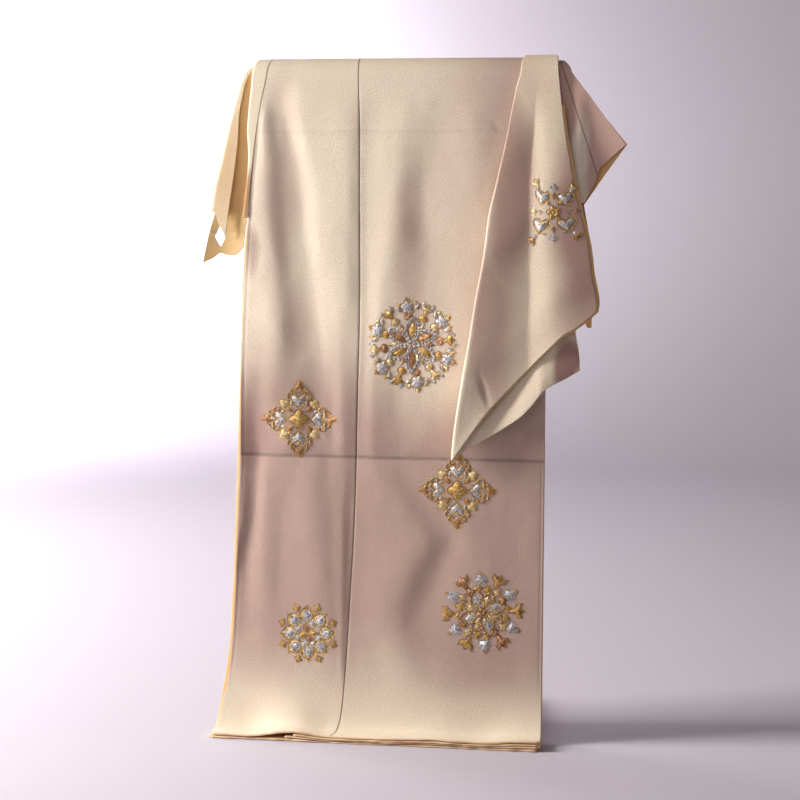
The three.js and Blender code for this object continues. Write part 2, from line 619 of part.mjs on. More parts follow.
const kimono = new THREE.Group();
kimono.add(
  piece("left_okumi", overPanel(OVER_EDGE, beside(OVER_SEAM, -SEAM / 2), 8), CREPE_FINISH),
  piece("left_front", overPanel(beside(OVER_SEAM, SEAM / 2), OVER_SIDE, 12), CREPE_FINISH),
  piece("back_panels", backPanels(), CREPE_FINISH),
  piece("right_okumi", underPanel(UNDER_EDGE, beside(UNDER_SEAM, -SEAM / 2), 7, EDGE_STEPS), LINING_FINISH),
  piece("right_front", underPanel(beside(UNDER_SEAM, SEAM / 2), UNDER_SIDE, 8, EDGE_STEPS), CREPE_FINISH),
  piece("left_collar", overCollar(), CREPE_FINISH),
  piece("right_collar", freeCollarFace(), CREPE_FINISH),
  piece("right_collar_lining", cutThrough(freeCollarLining(), TWIST_GAP), LINING_FINISH),
  piece("left_sleeve", nearSleeve(), CREPE_FINISH),
  piece("left_sleeve_lining", nearSleeveLining(), LINING_FINISH),
  piece("right_sleeve_face", farSleevePly(FAR_FACE, FAR_RIDGE.height, 9, 2), CREPE_FINISH),
  piece("right_sleeve_inner", farSleevePly(FAR_INNER, 0, 6, 1), LINING_FINISH),
);

const stand = new THREE.Group();
stand.add(
  piece("stand_foot", standFoot(), WOOD_FINISH),
  piece("stand_post", standPost(), WOOD_FINISH),
  piece("stand_rail", standRail(), WOOD_FINISH),
);

const display = new THREE.Group();
display.add(kimono, stand);

export default display;
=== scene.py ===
import math
from bisect import bisect_right

import bmesh
import bpy
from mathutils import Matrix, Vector, noise


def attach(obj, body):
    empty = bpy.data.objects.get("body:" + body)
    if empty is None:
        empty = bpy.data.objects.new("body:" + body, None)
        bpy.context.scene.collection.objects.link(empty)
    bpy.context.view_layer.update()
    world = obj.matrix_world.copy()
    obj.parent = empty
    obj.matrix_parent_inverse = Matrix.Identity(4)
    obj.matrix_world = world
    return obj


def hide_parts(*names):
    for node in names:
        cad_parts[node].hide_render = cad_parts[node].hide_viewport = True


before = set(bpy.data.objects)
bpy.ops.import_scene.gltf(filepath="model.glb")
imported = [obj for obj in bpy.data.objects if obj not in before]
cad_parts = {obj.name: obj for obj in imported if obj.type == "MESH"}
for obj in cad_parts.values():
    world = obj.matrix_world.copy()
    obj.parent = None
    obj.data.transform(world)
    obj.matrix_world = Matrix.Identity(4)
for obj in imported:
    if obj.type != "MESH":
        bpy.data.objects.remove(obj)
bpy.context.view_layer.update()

# The studio: a pale floor that curves up into a wall, a tall soft window light at the left, two more
# that only light the wall and the floor, a weak one in front, and a long lens a little below the rail.
CAMERA = {"lens": 85.4, "place": (0.3573, -2.5754, 0.8), "down": 7.4, "turn": 8.2}


def add_object(name, data):
    made = bpy.data.objects.new(name, data)
    bpy.context.scene.collection.objects.link(made)
    return made


camera_data = bpy.data.cameras.new("camera")
camera_data.lens = CAMERA["lens"]
camera_data.sensor_width = 36
camera = add_object("camera", camera_data)
camera.location = CAMERA["place"]
camera.rotation_euler = (math.radians(90 - CAMERA["down"]), 0, math.radians(CAMERA["turn"]))
bpy.context.scene.camera = camera


def add_node(tree, kind, inputs=None, **settings):
    """A shader node with these inputs, each a number, a colour or another node's socket."""
    node = tree.nodes.new(kind)
    for name, value in settings.items():
        setattr(node, name, value)
    for name, value in (inputs or {}).items():
        if isinstance(value, bpy.types.NodeSocket):
            tree.links.new(value, node.inputs[name])
        else:
            node.inputs[name].default_value = value
    return node


def new_material(name, **settings):
    """A material whose shader has these plain numbers and colours. Gives its tree and its shader."""
    material = bpy.data.materials.new(name)
    material.use_nodes = True
    shader = material.node_tree.nodes["Principled BSDF"]
    for socket, value in settings.items():
        shader.inputs[socket.replace("_", " ")].default_value = value
    return material, material.node_tree, shader


def srgb(red, green, blue):
    """A colour given as on a screen, 0 to 255, made linear."""
    parts = [c / 255 for c in (red, green, blue)]
    return tuple(c / 12.92 if c <= 0.04045 else ((c + 0.055) / 1.055) ** 2.4 for c in parts) + (1.0,)


FLOOR = {"half_width": 3.4, "front": -3.2, "back": 2.2, "curve": 0.9, "height": 3.2, "steps": 16}
floor_mesh = bmesh.new()
profile = [(FLOOR["front"], 0), (FLOOR["back"], 0)]
for step in range(1, FLOOR["steps"] + 1):
    angle = math.radians(90) * step / FLOOR["steps"]
    across = FLOOR["back"] + FLOOR["curve"] * math.sin(angle)
    profile.append((across, FLOOR["curve"] * (1 - math.cos(angle))))
profile.append((FLOOR["back"] + FLOOR["curve"], FLOOR["height"]))
side = [floor_mesh.verts.new((-FLOOR["half_width"], y, z)) for y, z in profile]
side_edges = [floor_mesh.edges.new(pair) for pair in zip(side, side[1:])]
swept = bmesh.ops.extrude_edge_only(floor_mesh, edges=side_edges)
moved = [item for item in swept["geom"] if isinstance(item, bmesh.types.BMVert)]
bmesh.ops.translate(floor_mesh, verts=moved, vec=(2 * FLOOR["half_width"], 0, 0))
bmesh.ops.recalc_face_normals(floor_mesh, faces=floor_mesh.faces)
floor_data = bpy.data.meshes.new("floor")
floor_mesh.to_mesh(floor_data)
floor_mesh.free()
floor_data.shade_smooth()
floor = add_object("floor", floor_data)
paper, _, paper_shader = new_material("studio_paper", Roughness=0.9)
paper_shader.inputs["Base Color"].default_value = srgb(187, 181, 191)
floor_data.materials.append(paper)


def soft_light(name, place, target, size, power, colour, spread=180):
    data = bpy.data.lights.new(name, "AREA")
    data.spread = math.radians(spread)
    data.shape = "RECTANGLE"
    data.size, data.size_y = size
    data.energy = power
    data.color = colour
    light = add_object(name, data)
    light.location = place
    light.rotation_euler = (Vector(target) - Vector(place)).to_track_quat("-Z", "Y").to_euler()


# Each light: its name, place and target in metres, its size, power in watts, colour, and spread.
soft_light("window", (-2.5, -0.6, 1.3), (0.0, 0.0, 0.5), (0.7, 1.6), 165, (1.0, 0.98, 0.945))
soft_light("backdrop_glow", (-3.0, 0.9, 1.3), (-2.3, 3.0, 0.75), (1.2, 1.8), 158, (1.0, 0.99, 1.0), 79)
soft_light("floor_glow", (-2.5, 1.1, 0.9), (-0.7, 0.9, 0.0), (0.8, 0.8), 20, (1.0, 0.99, 0.985), 108)
soft_light("front_fill", (-0.6, -3.0, 2.4), (0.0, 0.0, 0.5), (2.4, 1.6), 12, (1.0, 0.985, 0.97))
world = bpy.data.worlds.new("studio")
world.use_nodes = True
sky = world.node_tree.nodes["Background"]
sky.inputs["Color"].default_value = (0.97, 0.82, 0.76, 1)
sky.inputs["Strength"].default_value = 0.17
bpy.context.scene.world = world
bpy.context.scene.view_settings.view_transform = "Standard"

# What the layers of cloth share: each runs from its hem up the front, over the rail, and down behind.
MM = 0.001
RAIL_HEIGHT = 907  # the height of the rail's middle
HEM_DROP = 918  # the cloth's length from there down to the hem
HEM_REACH = 98  # how far in front of the rail the hem lies
BEND_TOP, BEND_REACH = 70, 24  # where the front bends out on to the table
BACK_FOLD, BACK_FOLD_RADIUS, BACK_TAIL = 600, 3.6, 24  # the fold behind, and the tail inside it
INNER_END = 630  # where the inner layers end behind
SEAM = 0.3
CLOTH, HEM_PAD = 1.4, 3.3  # the lined cloth's thickness, and the padded hem's
# Each layer: how far it lies from the rail's middle, from its foot's, and above the table.
OVER = {"rail": 19.96, "foot": 60, "table": 13.1}
OVER_LEFT = {"rail": 19.96, "foot": 53, "table": 5.6}


def lerp(a, b, t):
    return a + (b - a) * t


def clamp(x, low=0.0, high=1.0):
    return min(max(x, low), high)


def rise(low, high, x):
    t = clamp((x - low) / (high - low))
    return t * t * (3 - 2 * t)


def fall(low, high, x):
    return 1 - rise(low, high, x)


def hump(x, width):
    return math.exp(-((x / width) ** 2))


def curve_of(*rows):
    """Reads rows of (place, value) as a smooth curve, level beyond its ends."""
    places = [row[0] for row in rows]
    values = [row[1] for row in rows]
    slopes = [(b[1] - a[1]) / (b[0] - a[0]) for a, b in zip(rows, rows[1:])]
    tangents = []
    for i in range(len(rows)):
        before, after = slopes[max(i - 1, 0)], slopes[min(i, len(slopes) - 1)]
        tangents.append(0 if before * after <= 0 else 2 * before * after / (before + after))

    def read(place):
        if place <= places[0]:
            return values[0]
        if place >= places[-1]:
            return values[-1]
        i = bisect_right(places, place) - 1
        width = places[i + 1] - places[i]
        t = (place - places[i]) / width
        bend = (1 - t) * tangents[i] - t * tangents[i + 1]
        return lerp(values[i], values[i + 1], t * t * (3 - 2 * t)) + t * (1 - t) * width * bend

    return read


OVER_EDGE = curve_of(
    (-375, -78), (-60, -172), (-32, -185), (-6, -192), (6, -194), (46, -202), (89, -208.5),
    (143, -214), (194, -218), (306, -225), (443, -229), (513, -230), (666, -236), (778, -242),
    (835, -249), (864, -256), (905, -264),
)
OVER_SEAM = curve_of(
    (-375, -68), (0, -67.5), (60, -65), (130, -64.4), (306, -63.5), (443, -66), (580, -68.8),
    (650, -71.8), (716, -75.5), (790, -79.4), (829, -82.5), (868, -87), (895, -91.5), (918, -96),
)
BACK_EDGE = curve_of((-375, -56), (-60, -112), (0, -125), (918, -142))
HEM_SWELL = curve_of(
    (-265, 1.05), (-211, 0.85), (-171, 1.05), (-142, 0.97), (-104, 0.64), (-65, 0.6), (0, 0.7),
    (48, 0.8), (100, 0.68), (160, 0.96), (186, 1.02),
)

# The folds: ridges and hollows that run down the cloth, from left to right. Each is rows of its
# height, its place across, and how far it stands out there. Between two of them the cloth sways over.
FOLD_LINES = [
    [
        (70, -250, 1.5), (190, -240, 2.6), (246, -235, 4.4), (300, -229, 5.0), (369, -228, 5.2),
        (411, -231, 5.6), (533, -232, 6.2), (615, -228, 4.6), (697, -226, 5.8), (751, -222, 5.0),
        (805, -217, 3.6), (860, -213, 1.6), (905, -209, 0.7),
    ],
    [
        (110, -222, 1.6), (243, -222, 0.8), (300, -213, 0.6), (369, -208, 0.5), (411, -207, 1.2),
        (533, -206, 7.0), (615, -206, 5.5), (697, -211, 6.0), (751, -209, 5.5), (805, -206, 3.8),
        (860, -206, 1.8),
    ],
    [
        (110, -196, 2.0), (246, -196, 2.8), (369, -190, 2.8), (411, -184, 3.2), (465, -182, 6.0),
        (533, -180, 8.0), (615, -182, 6.8), (697, -191, 6.8), (751, -196, 6.3), (805, -196, 5.0),
        (860, -198, 3.0),
    ],
    [
        (110, -160, 1.3), (246, -172, 0.9), (369, -164, 3.0), (411, -160, 5.0), (465, -156, 4.4),
        (533, -150, 3.2), (615, -154, 2.4), (697, -163, 2.4), (751, -166, 2.2), (805, -174, 1.9),
        (858, -184, 1.4),
    ],
    [
        (134, -104, 2.8), (190, -108, 3.2), (248, -118, 3.8), (302, -126, 4.2), (369, -130, 4.2),
        (411, -124, 2.2), (465, -120, 1.4), (534, -120, 0.5), (615, -130, 1.0), (697, -143, 1.2),
        (751, -148, 1.0), (805, -158, 1.0), (858, -174, 0.6),
    ],
    [
        (134, -94, 2.6), (302, -98, 2.8), (369, -104, 2.8), (411, -104, 2.0), (534, -104, 2.6),
        (615, -112, 3.2), (697, -118, 4.6), (751, -122, 4.6), (858, -144, 4.2), (890, -146, 6.0),
    ],
    [
        (134, -88, 2.8), (302, -88, 2.7), (369, -86, 3.2), (411, -86, 4.2), (466, -86, 5.0),
        (535, -88, 4.2), (616, -84, 5.4), (751, -82, 6.4), (858, -80, 4.4), (905, -84, 3),
    ],
    [
        (134, -80, 1.6), (190, -76, 0.8), (246, -75, 0.5), (301, -73, 0.7), (369, -68, 1.6),
        (412, -64, 2.4), (535, -58, 3.2), (616, -55, 3.2), (751, -54, 4.0), (858, -48, 2.8),
        (905, -46, 2.4),
    ],
    [
        (80, 0, 2.6), (137, -10, 3.0), (165, -12, 3.8), (193, -10, 4.6), (220, 0, 4.9), (246, 12, 5.0),
        (275, 24, 4.6), (304, 10, 3.6), (369, -34, 3.8), (412, -44, 4.4), (535, -40, 5.2),
        (617, -30, 5.4), (698, -16, 6.2), (751, -13, 6.2), (831, -5, 4.2), (905, 0, 2.8),
    ],
    [
        (80, 34, 2.2), (137, 24, 1.6), (165, 24, 0.8), (193, 32, 0.4), (220, 44, 0.3), (246, 54, 0.4),
        (275, 62, 0.7), (304, 44, 1.7), (369, 4, 2.6), (413, -6, 2.8), (536, 12, 3.0), (617, 26, 2.6),
        (698, 24, 2.6), (751, 29, 2.8), (831, 41, 2.8), (905, 50, 2.4),
    ],
    [
        (137, 74, 2.8), (193, 82, 3.2), (246, 96, 3.4), (304, 90, 3.6), (369, 66, 3.6), (450, 96, 4.6),
        (564, 101, 5.4), (671, 97, 5.6), (751, 91, 5.4), (858, 95, 3.6), (905, 98, 2.8),
    ],
    [(137, 186, 2.4), (300, 150, 2.2), (564, 150, 2.4), (751, 140, 2.0), (905, 150, 2.0)],
]
fold_lines = [
    (curve_of(*[(z, x) for z, x, _ in rows]), curve_of(*[(z, out) for z, _, out in rows]))
    for rows in FOLD_LINES
]
fold_rows = {}
# Creases of the way the kimono is stored: height, depth, and reach above and below.
CREASES = [(388, 2.6, 11, 24), (830, 0.8, 9, 14)]
# Short creases where the cloth is pinched: both ends, half width, depth.
PINCHES = [(64, 838, 84, 829, 3.6, 0.9), (112, 845, 128, 826, 2.8, 0.7)]


def fold_at(x, z):
    """How far the folds stand out at a place on the front."""
    level = round(2 * z) / 2
    if level not in fold_rows:
        fold_rows[level] = curve_of(*[(across(level), out(level)) for across, out in fold_lines])
    return fold_rows[level](x)


def pinch(x, z, x_from, z_from, x_to, z_to, half_width, depth):
    """A short crease, deepest midway."""
    run = (x_to - x_from, z_to - z_from)
    length = math.hypot(*run)
    along = ((x - x_from) * run[0] + (z - z_from) * run[1]) / length**2
    aside = ((x - x_from) * run[1] - (z - z_from) * run[0]) / length
    return depth * hump(aside, half_width) * rise(-0.2, 0.5, along) * fall(0.5, 1.2, along)


def over_relief(x, drop):
    """How far the over layer stands out from its plain drape."""
    z = RAIL_HEIGHT - drop
    out = fold_at(x, z)
    for height, depth, above, below in CREASES:
        out -= depth * math.exp(-abs(z - height) / (above if z > height else below))
    for crease in PINCHES:
        if abs(z - crease[1]) < 40 and abs(x - crease[0]) < 40:
            out -= pinch(x, z, *crease)
    out += 0.6 * noise.noise(Vector((x / 42, z / 80, 3.1))) + 0.22 * noise.noise(
        Vector((x / 15, z / 26, 7.7))
    )
    out -= (0.6 + 0.2 * noise.noise(Vector((z / 6, 0, 5)))) * hump(x - OVER_SEAM(drop), 1.5)
    for stitched_x in (OVER_EDGE(drop) + 4.5, 186.5):  # the rows of stitches down both edges
        out -= (0.34 + 0.16 * noise.noise(Vector((z / 5, stitched_x / 99, 2)))) * hump(x - stitched_x, 1.7)
    return rise(0, 60, drop) * fall(800, 850, drop) * out


def straight(start, end):
    return math.dist(start, end), lambda t: (lerp(start[0], end[0], t), lerp(start[1], end[1], t))


def round_turn(middle, radius, start, end):
    def at(t):
        angle = lerp(start, end, t)
        return middle[0] + radius * math.cos(angle), middle[1] + radius * math.sin(angle)

    return radius * abs(end - start), at


def slow_bend(start, control, end):
    points = []
    for step in range(61):
        t = step / 60
        pair = zip(start, control, end)
        points.append([(1 - t) ** 2 * a + 2 * t * (1 - t) * b + t * t * c for a, b, c in pair])
    runs = [0]
    for a, b in zip(points, points[1:]):
        runs.append(runs[-1] + math.dist(a, b))

    def at(t):
        run = t * runs[-1]
        i = min(bisect_right(runs, run) - 1, len(runs) - 2)
        part = (run - runs[i]) / (runs[i + 1] - runs[i])
        return tuple(lerp(a, b, part) for a, b in zip(points[i], points[i + 1]))

    return runs[-1], at


def drape_path(layer, end):
    """The side view of a layer, as (y, z): from the hem up the front, over the rail, down behind."""
    rail, foot, table = layer["rail"], layer["foot"], layer["table"]
    lean = (foot - rail) / (RAIL_HEIGHT - BEND_TOP)
    corner = (-foot - lean * (BEND_TOP - table), table)
    return [
        straight((-HEM_REACH, table), (-foot - BEND_REACH, table)),
        slow_bend((-foot - BEND_REACH, table), corner, (-foot, BEND_TOP)),
        straight((-foot, BEND_TOP), (-rail, RAIL_HEIGHT)),
        round_turn((0, RAIL_HEIGHT), rail, math.pi, 0),
        straight((rail, RAIL_HEIGHT), (rail, end)),
    ]


def folded_path(layer):
    """The same, ending in the fold behind and a short tail inside it."""
    middle = layer["rail"] - BACK_FOLD_RADIUS
    inner = middle - BACK_FOLD_RADIUS
    return drape_path(layer, BACK_FOLD) + [
        round_turn((middle, BACK_FOLD), BACK_FOLD_RADIUS, 0, -math.pi),
        straight((inner, BACK_FOLD), (inner, BACK_FOLD + BACK_TAIL)),
    ]


def walk(path, steps, before_rail=3):
    """Walks a path, v from 0 to 1, with a number of steps in each piece of it. Gives y, z, drop."""
    total = sum(steps)
    runs = [sum(length for length, _ in path[:i]) for i in range(len(path))]

    def at(v):
        step, i = clamp(v) * total, 0
        while i < len(steps) - 1 and step > steps[i]:
            step -= steps[i]
            i += 1
        t = min(step / steps[i], 1)
        length, point = path[i]
        y, z = point(t)
        return y, z, runs[before_rail] - runs[i] - length * t

    return at


def hem_height(x, z):
    return z * lerp(HEM_SWELL(x), 1, rise(14, BEND_TOP, z))


TURNED_EDGE = 0.45


def hang(name, columns, rows, place, thickness, finishes):
    """A length of cloth: a grid bent so that place(u, v) gives each vertex, its spot on the cut
    cloth with the way to its nearest seam, and its share of the wall's thickness. finishes are the
    outer face's and the inner's."""
    mesh = bmesh.new()
    bmesh.ops.create_grid(mesh, x_segments=columns, y_segments=rows, size=0.5)
    cut = mesh.loops.layers.uv.new("cut")
    seams = mesh.loops.layers.uv.new("seams")
    weights = mesh.verts.layers.deform.verify()
    mesh.verts.index_update()
    spots = []
    for vertex in mesh.verts:
        u = round((vertex.co.x + 0.5) * columns) / columns
        v = round((vertex.co.y + 0.5) * rows) / rows
        point, spot, share = place(u, v)
        vertex.co = Vector(point) * MM
        vertex[weights][0] = share
        spots.append(spot)
    for face in mesh.faces:
        face.smooth = True
        for loop in face.loops:
            across, along, *to_seam = spots[loop.vert.index]
            loop[cut].uv = (across * MM, along * MM)
            loop[seams].uv = (to_seam[0] * MM if to_seam else 1, 0)
    data = bpy.data.meshes.new(name)
    mesh.to_mesh(data)
    mesh.free()
    for finish in finishes:
        data.materials.append(finish)
    cloth = add_object(name, data)
    cloth.vertex_groups.new(name="wall")
    wall = cloth.modifiers.new("wall", "SOLIDIFY")
    wall.thickness = thickness * MM
    wall.offset = 0
    wall.vertex_group = "wall"
    wall.material_offset = len(finishes) - 1
    turned = cloth.modifiers.new("turned_edge", "BEVEL")
    turned.width = TURNED_EDGE * MM
    turned.segments = 2
    turned.limit_method = "ANGLE"
    turned.angle_limit = math.radians(60)
    return cloth


def group_of(name, inputs, outputs):
    """A node group with these sockets, as (name, kind, value). Gives the group and its two ends."""
    group = bpy.data.node_groups.new(name, "ShaderNodeTree")
    for socket, kind, value in inputs:
        made = group.interface.new_socket(socket, in_out="INPUT", socket_type="NodeSocket" + kind)
        if value is not None:
            made.default_value = value
    for socket, kind in outputs:
        group.interface.new_socket(socket, in_out="OUTPUT", socket_type="NodeSocket" + kind)
    return group, group.nodes.new("NodeGroupInput"), group.nodes.new("NodeGroupOutput")


def place_group(tree, group, inputs):
    return add_node(tree, "ShaderNodeGroup", inputs, node_tree=group)


def maths(tree, operation, *terms):
    """A number worked out from others. Gives its socket."""
    return add_node(tree, "ShaderNodeMath", dict(enumerate(terms)), operation=operation).outputs[0]


def vector_maths(tree, operation, *terms):
    return add_node(tree, "ShaderNodeVectorMath", dict(enumerate(terms)), operation=operation)


def remap(tree, value, low, high, start=0.0, end=1.0, step="LINEAR"):
    """A number carried from one span to another. Gives its socket."""
    spans = {"Value": value, "From Min": low, "From Max": high, "To Min": start, "To Max": end}
    return add_node(tree, "ShaderNodeMapRange", spans, interpolation_type=step).outputs[0]


def speckle(tree, place, scale, detail, **more):
    """Soft noise. Gives its node."""
    return add_node(tree, "ShaderNodeTexNoise", {"Vector": place, "Scale": scale, "Detail": detail, **more})


def blend(tree, share, first, second):
    """Two colours mixed. Gives the mix's socket."""
    inputs = {"Factor": share, "A": first, "B": second}
    return add_node(tree, "ShaderNodeMix", inputs, data_type="RGBA").outputs["Result"]


def scaled_colour(tree, colour, share):
    inputs = {0: colour, "Scale": share}
    return add_node(tree, "ShaderNodeVectorMath", inputs, operation="SCALE").outputs[0]


def dark_line(tree, away, near, far, depth):
    """A soft dark line: full up to one distance from its middle, gone at another. Gives its shade."""
    line = remap(tree, maths(tree, "ABSOLUTE", away), near, far, 1, 0, "SMOOTHSTEP")
    return maths(tree, "SUBTRACT", 1, maths(tree, "MULTIPLY", line, depth))


def emboss(tree, shader, height, strength, distance):
    """Fine relief in the shading, up to a distance in metres."""
    bump = add_node(tree, "ShaderNodeBump", {"Height": height, "Strength": strength, "Distance": distance})
    tree.links.new(bump.outputs[0], shader.inputs["Normal"])


# Crepe: hard-twisted weft gives a fine pebbled face, a little longer across the cloth.
CREPE_INPUTS = [("Cut", "Vector", None), ("Pebble", "Float", 1.0)]
CREPE_OUTPUTS = [("Height", "Float"), ("Tone", "Float")]
crepe_grain, grain_in, grain_out = group_of("crepe_grain", CREPE_INPUTS, CREPE_OUTPUTS)
turned = {"Vector": grain_in.outputs["Cut"], "Scale": (0.85, 1, 1), "Rotation": (0, 0, 0.5)}
stretched = add_node(crepe_grain, "ShaderNodeMapping", turned).outputs[0]
pebbles = speckle(crepe_grain, stretched, 640, 3, Roughness=0.7).outputs["Fac"]
threads = speckle(crepe_grain, stretched, 1500, 1, Roughness=0.5).outputs["Fac"]
height = maths(
    crepe_grain, "MULTIPLY", maths(crepe_grain, "ADD", pebbles, threads), grain_in.outputs["Pebble"]
)
tone = remap(crepe_grain, pebbles, 0.3, 0.7, 0.76, 1.17)
crepe_grain.links.new(height, grain_out.inputs["Height"])
crepe_grain.links.new(tone, grain_out.inputs["Tone"])

# One cloud of colour, soft all round: most are hand-brushed dye (bokashi); a few on the body, strip and
# sleeve are painted shade, and those on the flap are painted light.
CLOUD_INPUTS = [
    ("Cut", "Vector", None),
    ("Middle", "Vector", (0, 0, 0)),
    ("Spread", "Vector", (0.1, 0.1, 1)),
    ("Core", "Float", 0.3),
    ("Strength", "Float", 1.0),
]
dye_and_painted_light_cloud, cloud_in, cloud_out = group_of("dye_and_painted_light_cloud", CLOUD_INPUTS, [("Mask", "Float")])
cloud = cloud_in.outputs
offset = vector_maths(dye_and_painted_light_cloud, "SUBTRACT", cloud["Cut"], cloud["Middle"]).outputs[0]
scaled = vector_maths(dye_and_painted_light_cloud, "DIVIDE", offset, cloud["Spread"]).outputs[0]
away = vector_maths(dye_and_painted_light_cloud, "LENGTH", scaled).outputs["Value"]
soft = remap(dye_and_painted_light_cloud, away, cloud["Core"], 1, 1, 0, "SMOOTHSTEP")
dye_and_painted_light_cloud.links.new(maths(dye_and_painted_light_cloud, "MULTIPLY", soft, cloud["Strength"]), cloud_out.inputs["Mask"])

# A pressed crease straight across the cloth, at one drop: painted shade as a fine dark line.
CREASE_INPUTS = [("Cut", "Vector", None), ("Drop", "Float", 0.0), ("Depth", "Float", 0.2)]
crease_painted_shade, crease_in, crease_out = group_of("crease_painted_shade", CREASE_INPUTS, [("Shade", "Float")])
crease = crease_in.outputs
CREASE_STRAY = 0.003
crease_drop = add_node(crease_painted_shade, "ShaderNodeSeparateXYZ", {0: crease["Cut"]}).outputs["Y"]
crease_stray = speckle(crease_painted_shade, crease["Cut"], 22, 2).outputs["Fac"]
crease_shift = maths(crease_painted_shade, "MULTIPLY_ADD", crease_stray, CREASE_STRAY, crease_drop)
crease_away = maths(crease_painted_shade, "SUBTRACT", crease_shift, crease["Drop"])
crease_shade = dark_line(crease_painted_shade, crease_away, 0.0008, 0.0038, crease["Depth"])
crease_painted_shade.links.new(crease_shade, crease_out.inputs["Shade"])

# A seam: a thin dark line of painted shade where two lengths of cloth are drawn together. The same line runs
# along the left sleeve's open lower edge.
SEAM_INPUTS = [("Seams", "Vector", None), ("Depth", "Float", 0.6)]
seam_painted_shade, seam_in, seam_out = group_of("seam_painted_shade", SEAM_INPUTS, [("Shade", "Float")])
seam_away = add_node(seam_painted_shade, "ShaderNodeSeparateXYZ", {0: seam_in.outputs["Seams"]}).outputs["X"]
seam_shade = dark_line(seam_painted_shade, seam_away, 0.0003, 0.0012, seam_in.outputs["Depth"])
seam_painted_shade.links.new(seam_shade, seam_out.inputs["Shade"])

CLOUD_WANDER = (0.04, 0.07, 0)


def dyed_crepe_with_painted_light(name, ground, second, clouds, painted_creases=()):
    """Silk crepe dyed in ground, with clouds of a second colour: most are dye, a few are painted shade, and
    the flap's are painted light.
    Each cloud is its middle across and along the cut cloth, its half width and half length, its even core's
    share, and its strength.
    Dark lines of painted shade follow its creases and seams."""
    material, tree, shader = new_material(name, Roughness=0.52, Sheen_Weight=0.12, Sheen_Roughness=0.35)
    shader.inputs["Specular IOR Level"].default_value = 0.42
    cut = add_node(tree, "ShaderNodeUVMap", uv_map="cut").outputs[0]
    drift = speckle(tree, cut, 9, 1).outputs["Color"]
    wander = vector_maths(tree, "SUBTRACT", drift, (0.5, 0.5, 0.5)).outputs[0]
    shifted = vector_maths(tree, "MULTIPLY_ADD", wander, CLOUD_WANDER, cut).outputs[0]
    mask = None
    for across, along, half_width, half_length, core, strength in clouds:
        cloud = place_group(tree, dye_and_painted_light_cloud, {
            "Cut": shifted,
            "Middle": (across * MM, along * MM, 0),
            "Spread": (half_width * MM, half_length * MM, 1),
            "Core": core,
            "Strength": strength,
        })
        cloud_mask = cloud.outputs["Mask"]
        mask = cloud_mask if mask is None else maths(tree, "MAXIMUM", mask, cloud_mask)
    grain = place_group(tree, crepe_grain, {"Cut": cut, "Pebble": 1.0})
    seams = add_node(tree, "ShaderNodeUVMap", uv_map="seams").outputs[0]
    shades = []
    for drop, depth in painted_creases:
        at_drop = {"Cut": cut, "Drop": drop * MM + CREASE_STRAY / 2, "Depth": depth}
        shades.append(place_group(tree, crease_painted_shade, at_drop))
    shades.append(place_group(tree, seam_painted_shade, {"Seams": seams, "Depth": 0.62}))
    shade = grain.outputs["Tone"]
    for line in shades:
        shade = maths(tree, "MULTIPLY", shade, line.outputs["Shade"])
    toned = scaled_colour(tree, blend(tree, mask, ground, second), shade)
    tree.links.new(toned, shader.inputs["Base Color"])
    emboss(tree, shader, grain.outputs["Height"], 0.8, 0.0009)
    return material


CREAM = srgb(232, 215, 192)
MAUVE = srgb(172, 138, 127)
GOLD_LINING = srgb(222, 172, 108)
# Clouds of mauve on the body, by their place on the drape: across, and the drop from the rail. Most are dye;
# the two marked below are painted shade.
BODY_CLOUDS = [
    (-150, 606, 330, 285, 0.5, 0.85),
    (140, 632, 330, 270, 0.55, 0.84),
    (-216, 500, 90, 170, 0.1, 1.0),
    (190, 30, 190, 250, 0.15, 0.74),
    (120, 240, 190, 330, 0.2, 0.3),
    (-176, 180, 40, 240, 0.0, 0.62),
    (8, 240, 40, 240, 0.0, 0.62),
    # painted shadow of the free collar's end on the overlap's left edge
    (-218, 226, 18, 64, 0.1, 0.75),
    # mauve along the overlap's left edge, deepened as painted shade of a narrow fold there
    (-232, 440, 22, 120, 0.1, 1.0),
    (-150, 350, 34, 110, 0.0, 0.6),
]
# The body darkens in fine lines at drops 519.4 and 77.1: painted shade of the storage creases.
body_crepe = dyed_crepe_with_painted_light("body_crepe", CREAM, MAUVE, BODY_CLOUDS, [(519.4, 0.36), (77.1, 0.05)])


def silk_lining(name, deep, pale, painted_shade_down=None):
    """Lining: a smoother, lightly glossy silk with a fine straight thread, its colour a little clouded.
    Its last argument darkens it down the cloth as painted shade: the drops where that starts and ends, and
    the share left there."""
    material, tree, shader = new_material(name, Roughness=0.45, Sheen_Weight=0.1)
    cut = add_node(tree, "ShaderNodeUVMap", uv_map="cut").outputs[0]
    waves = {"Vector": cut, "Scale": 300, "Distortion": 2.0, "Detail": 2}
    threads = add_node(tree, "ShaderNodeTexWave", waves, wave_type="BANDS", bands_direction="Y")
    cloudy = speckle(tree, cut, 26, 3).outputs["Fac"]
    colour = blend(tree, remap(tree, cloudy, 0.3, 0.7), deep, pale)
    if painted_shade_down:
        start, end, left = painted_shade_down
        down = add_node(tree, "ShaderNodeSeparateXYZ", {0: cut}).outputs["Y"]
        colour = scaled_colour(tree, colour, remap(tree, down, start * MM, end * MM, 1, left))
    tree.links.new(colour, shader.inputs["Base Color"])
    emboss(tree, shader, threads.outputs["Fac"], 0.25, 0.0003)
    return material


lining_silk = silk_lining("lining_silk", GOLD_LINING, srgb(232, 192, 134))


def stack_share(x, from_hem, hem_drop):
    """Where the over layer lies on all the others, past the back panels' fold. The step to its left is
    short at the hem and softer above."""
    return rise(BACK_EDGE(hem_drop) - lerp(80, 110, rise(8, 90, from_hem)), BACK_EDGE(hem_drop) + 4, x)


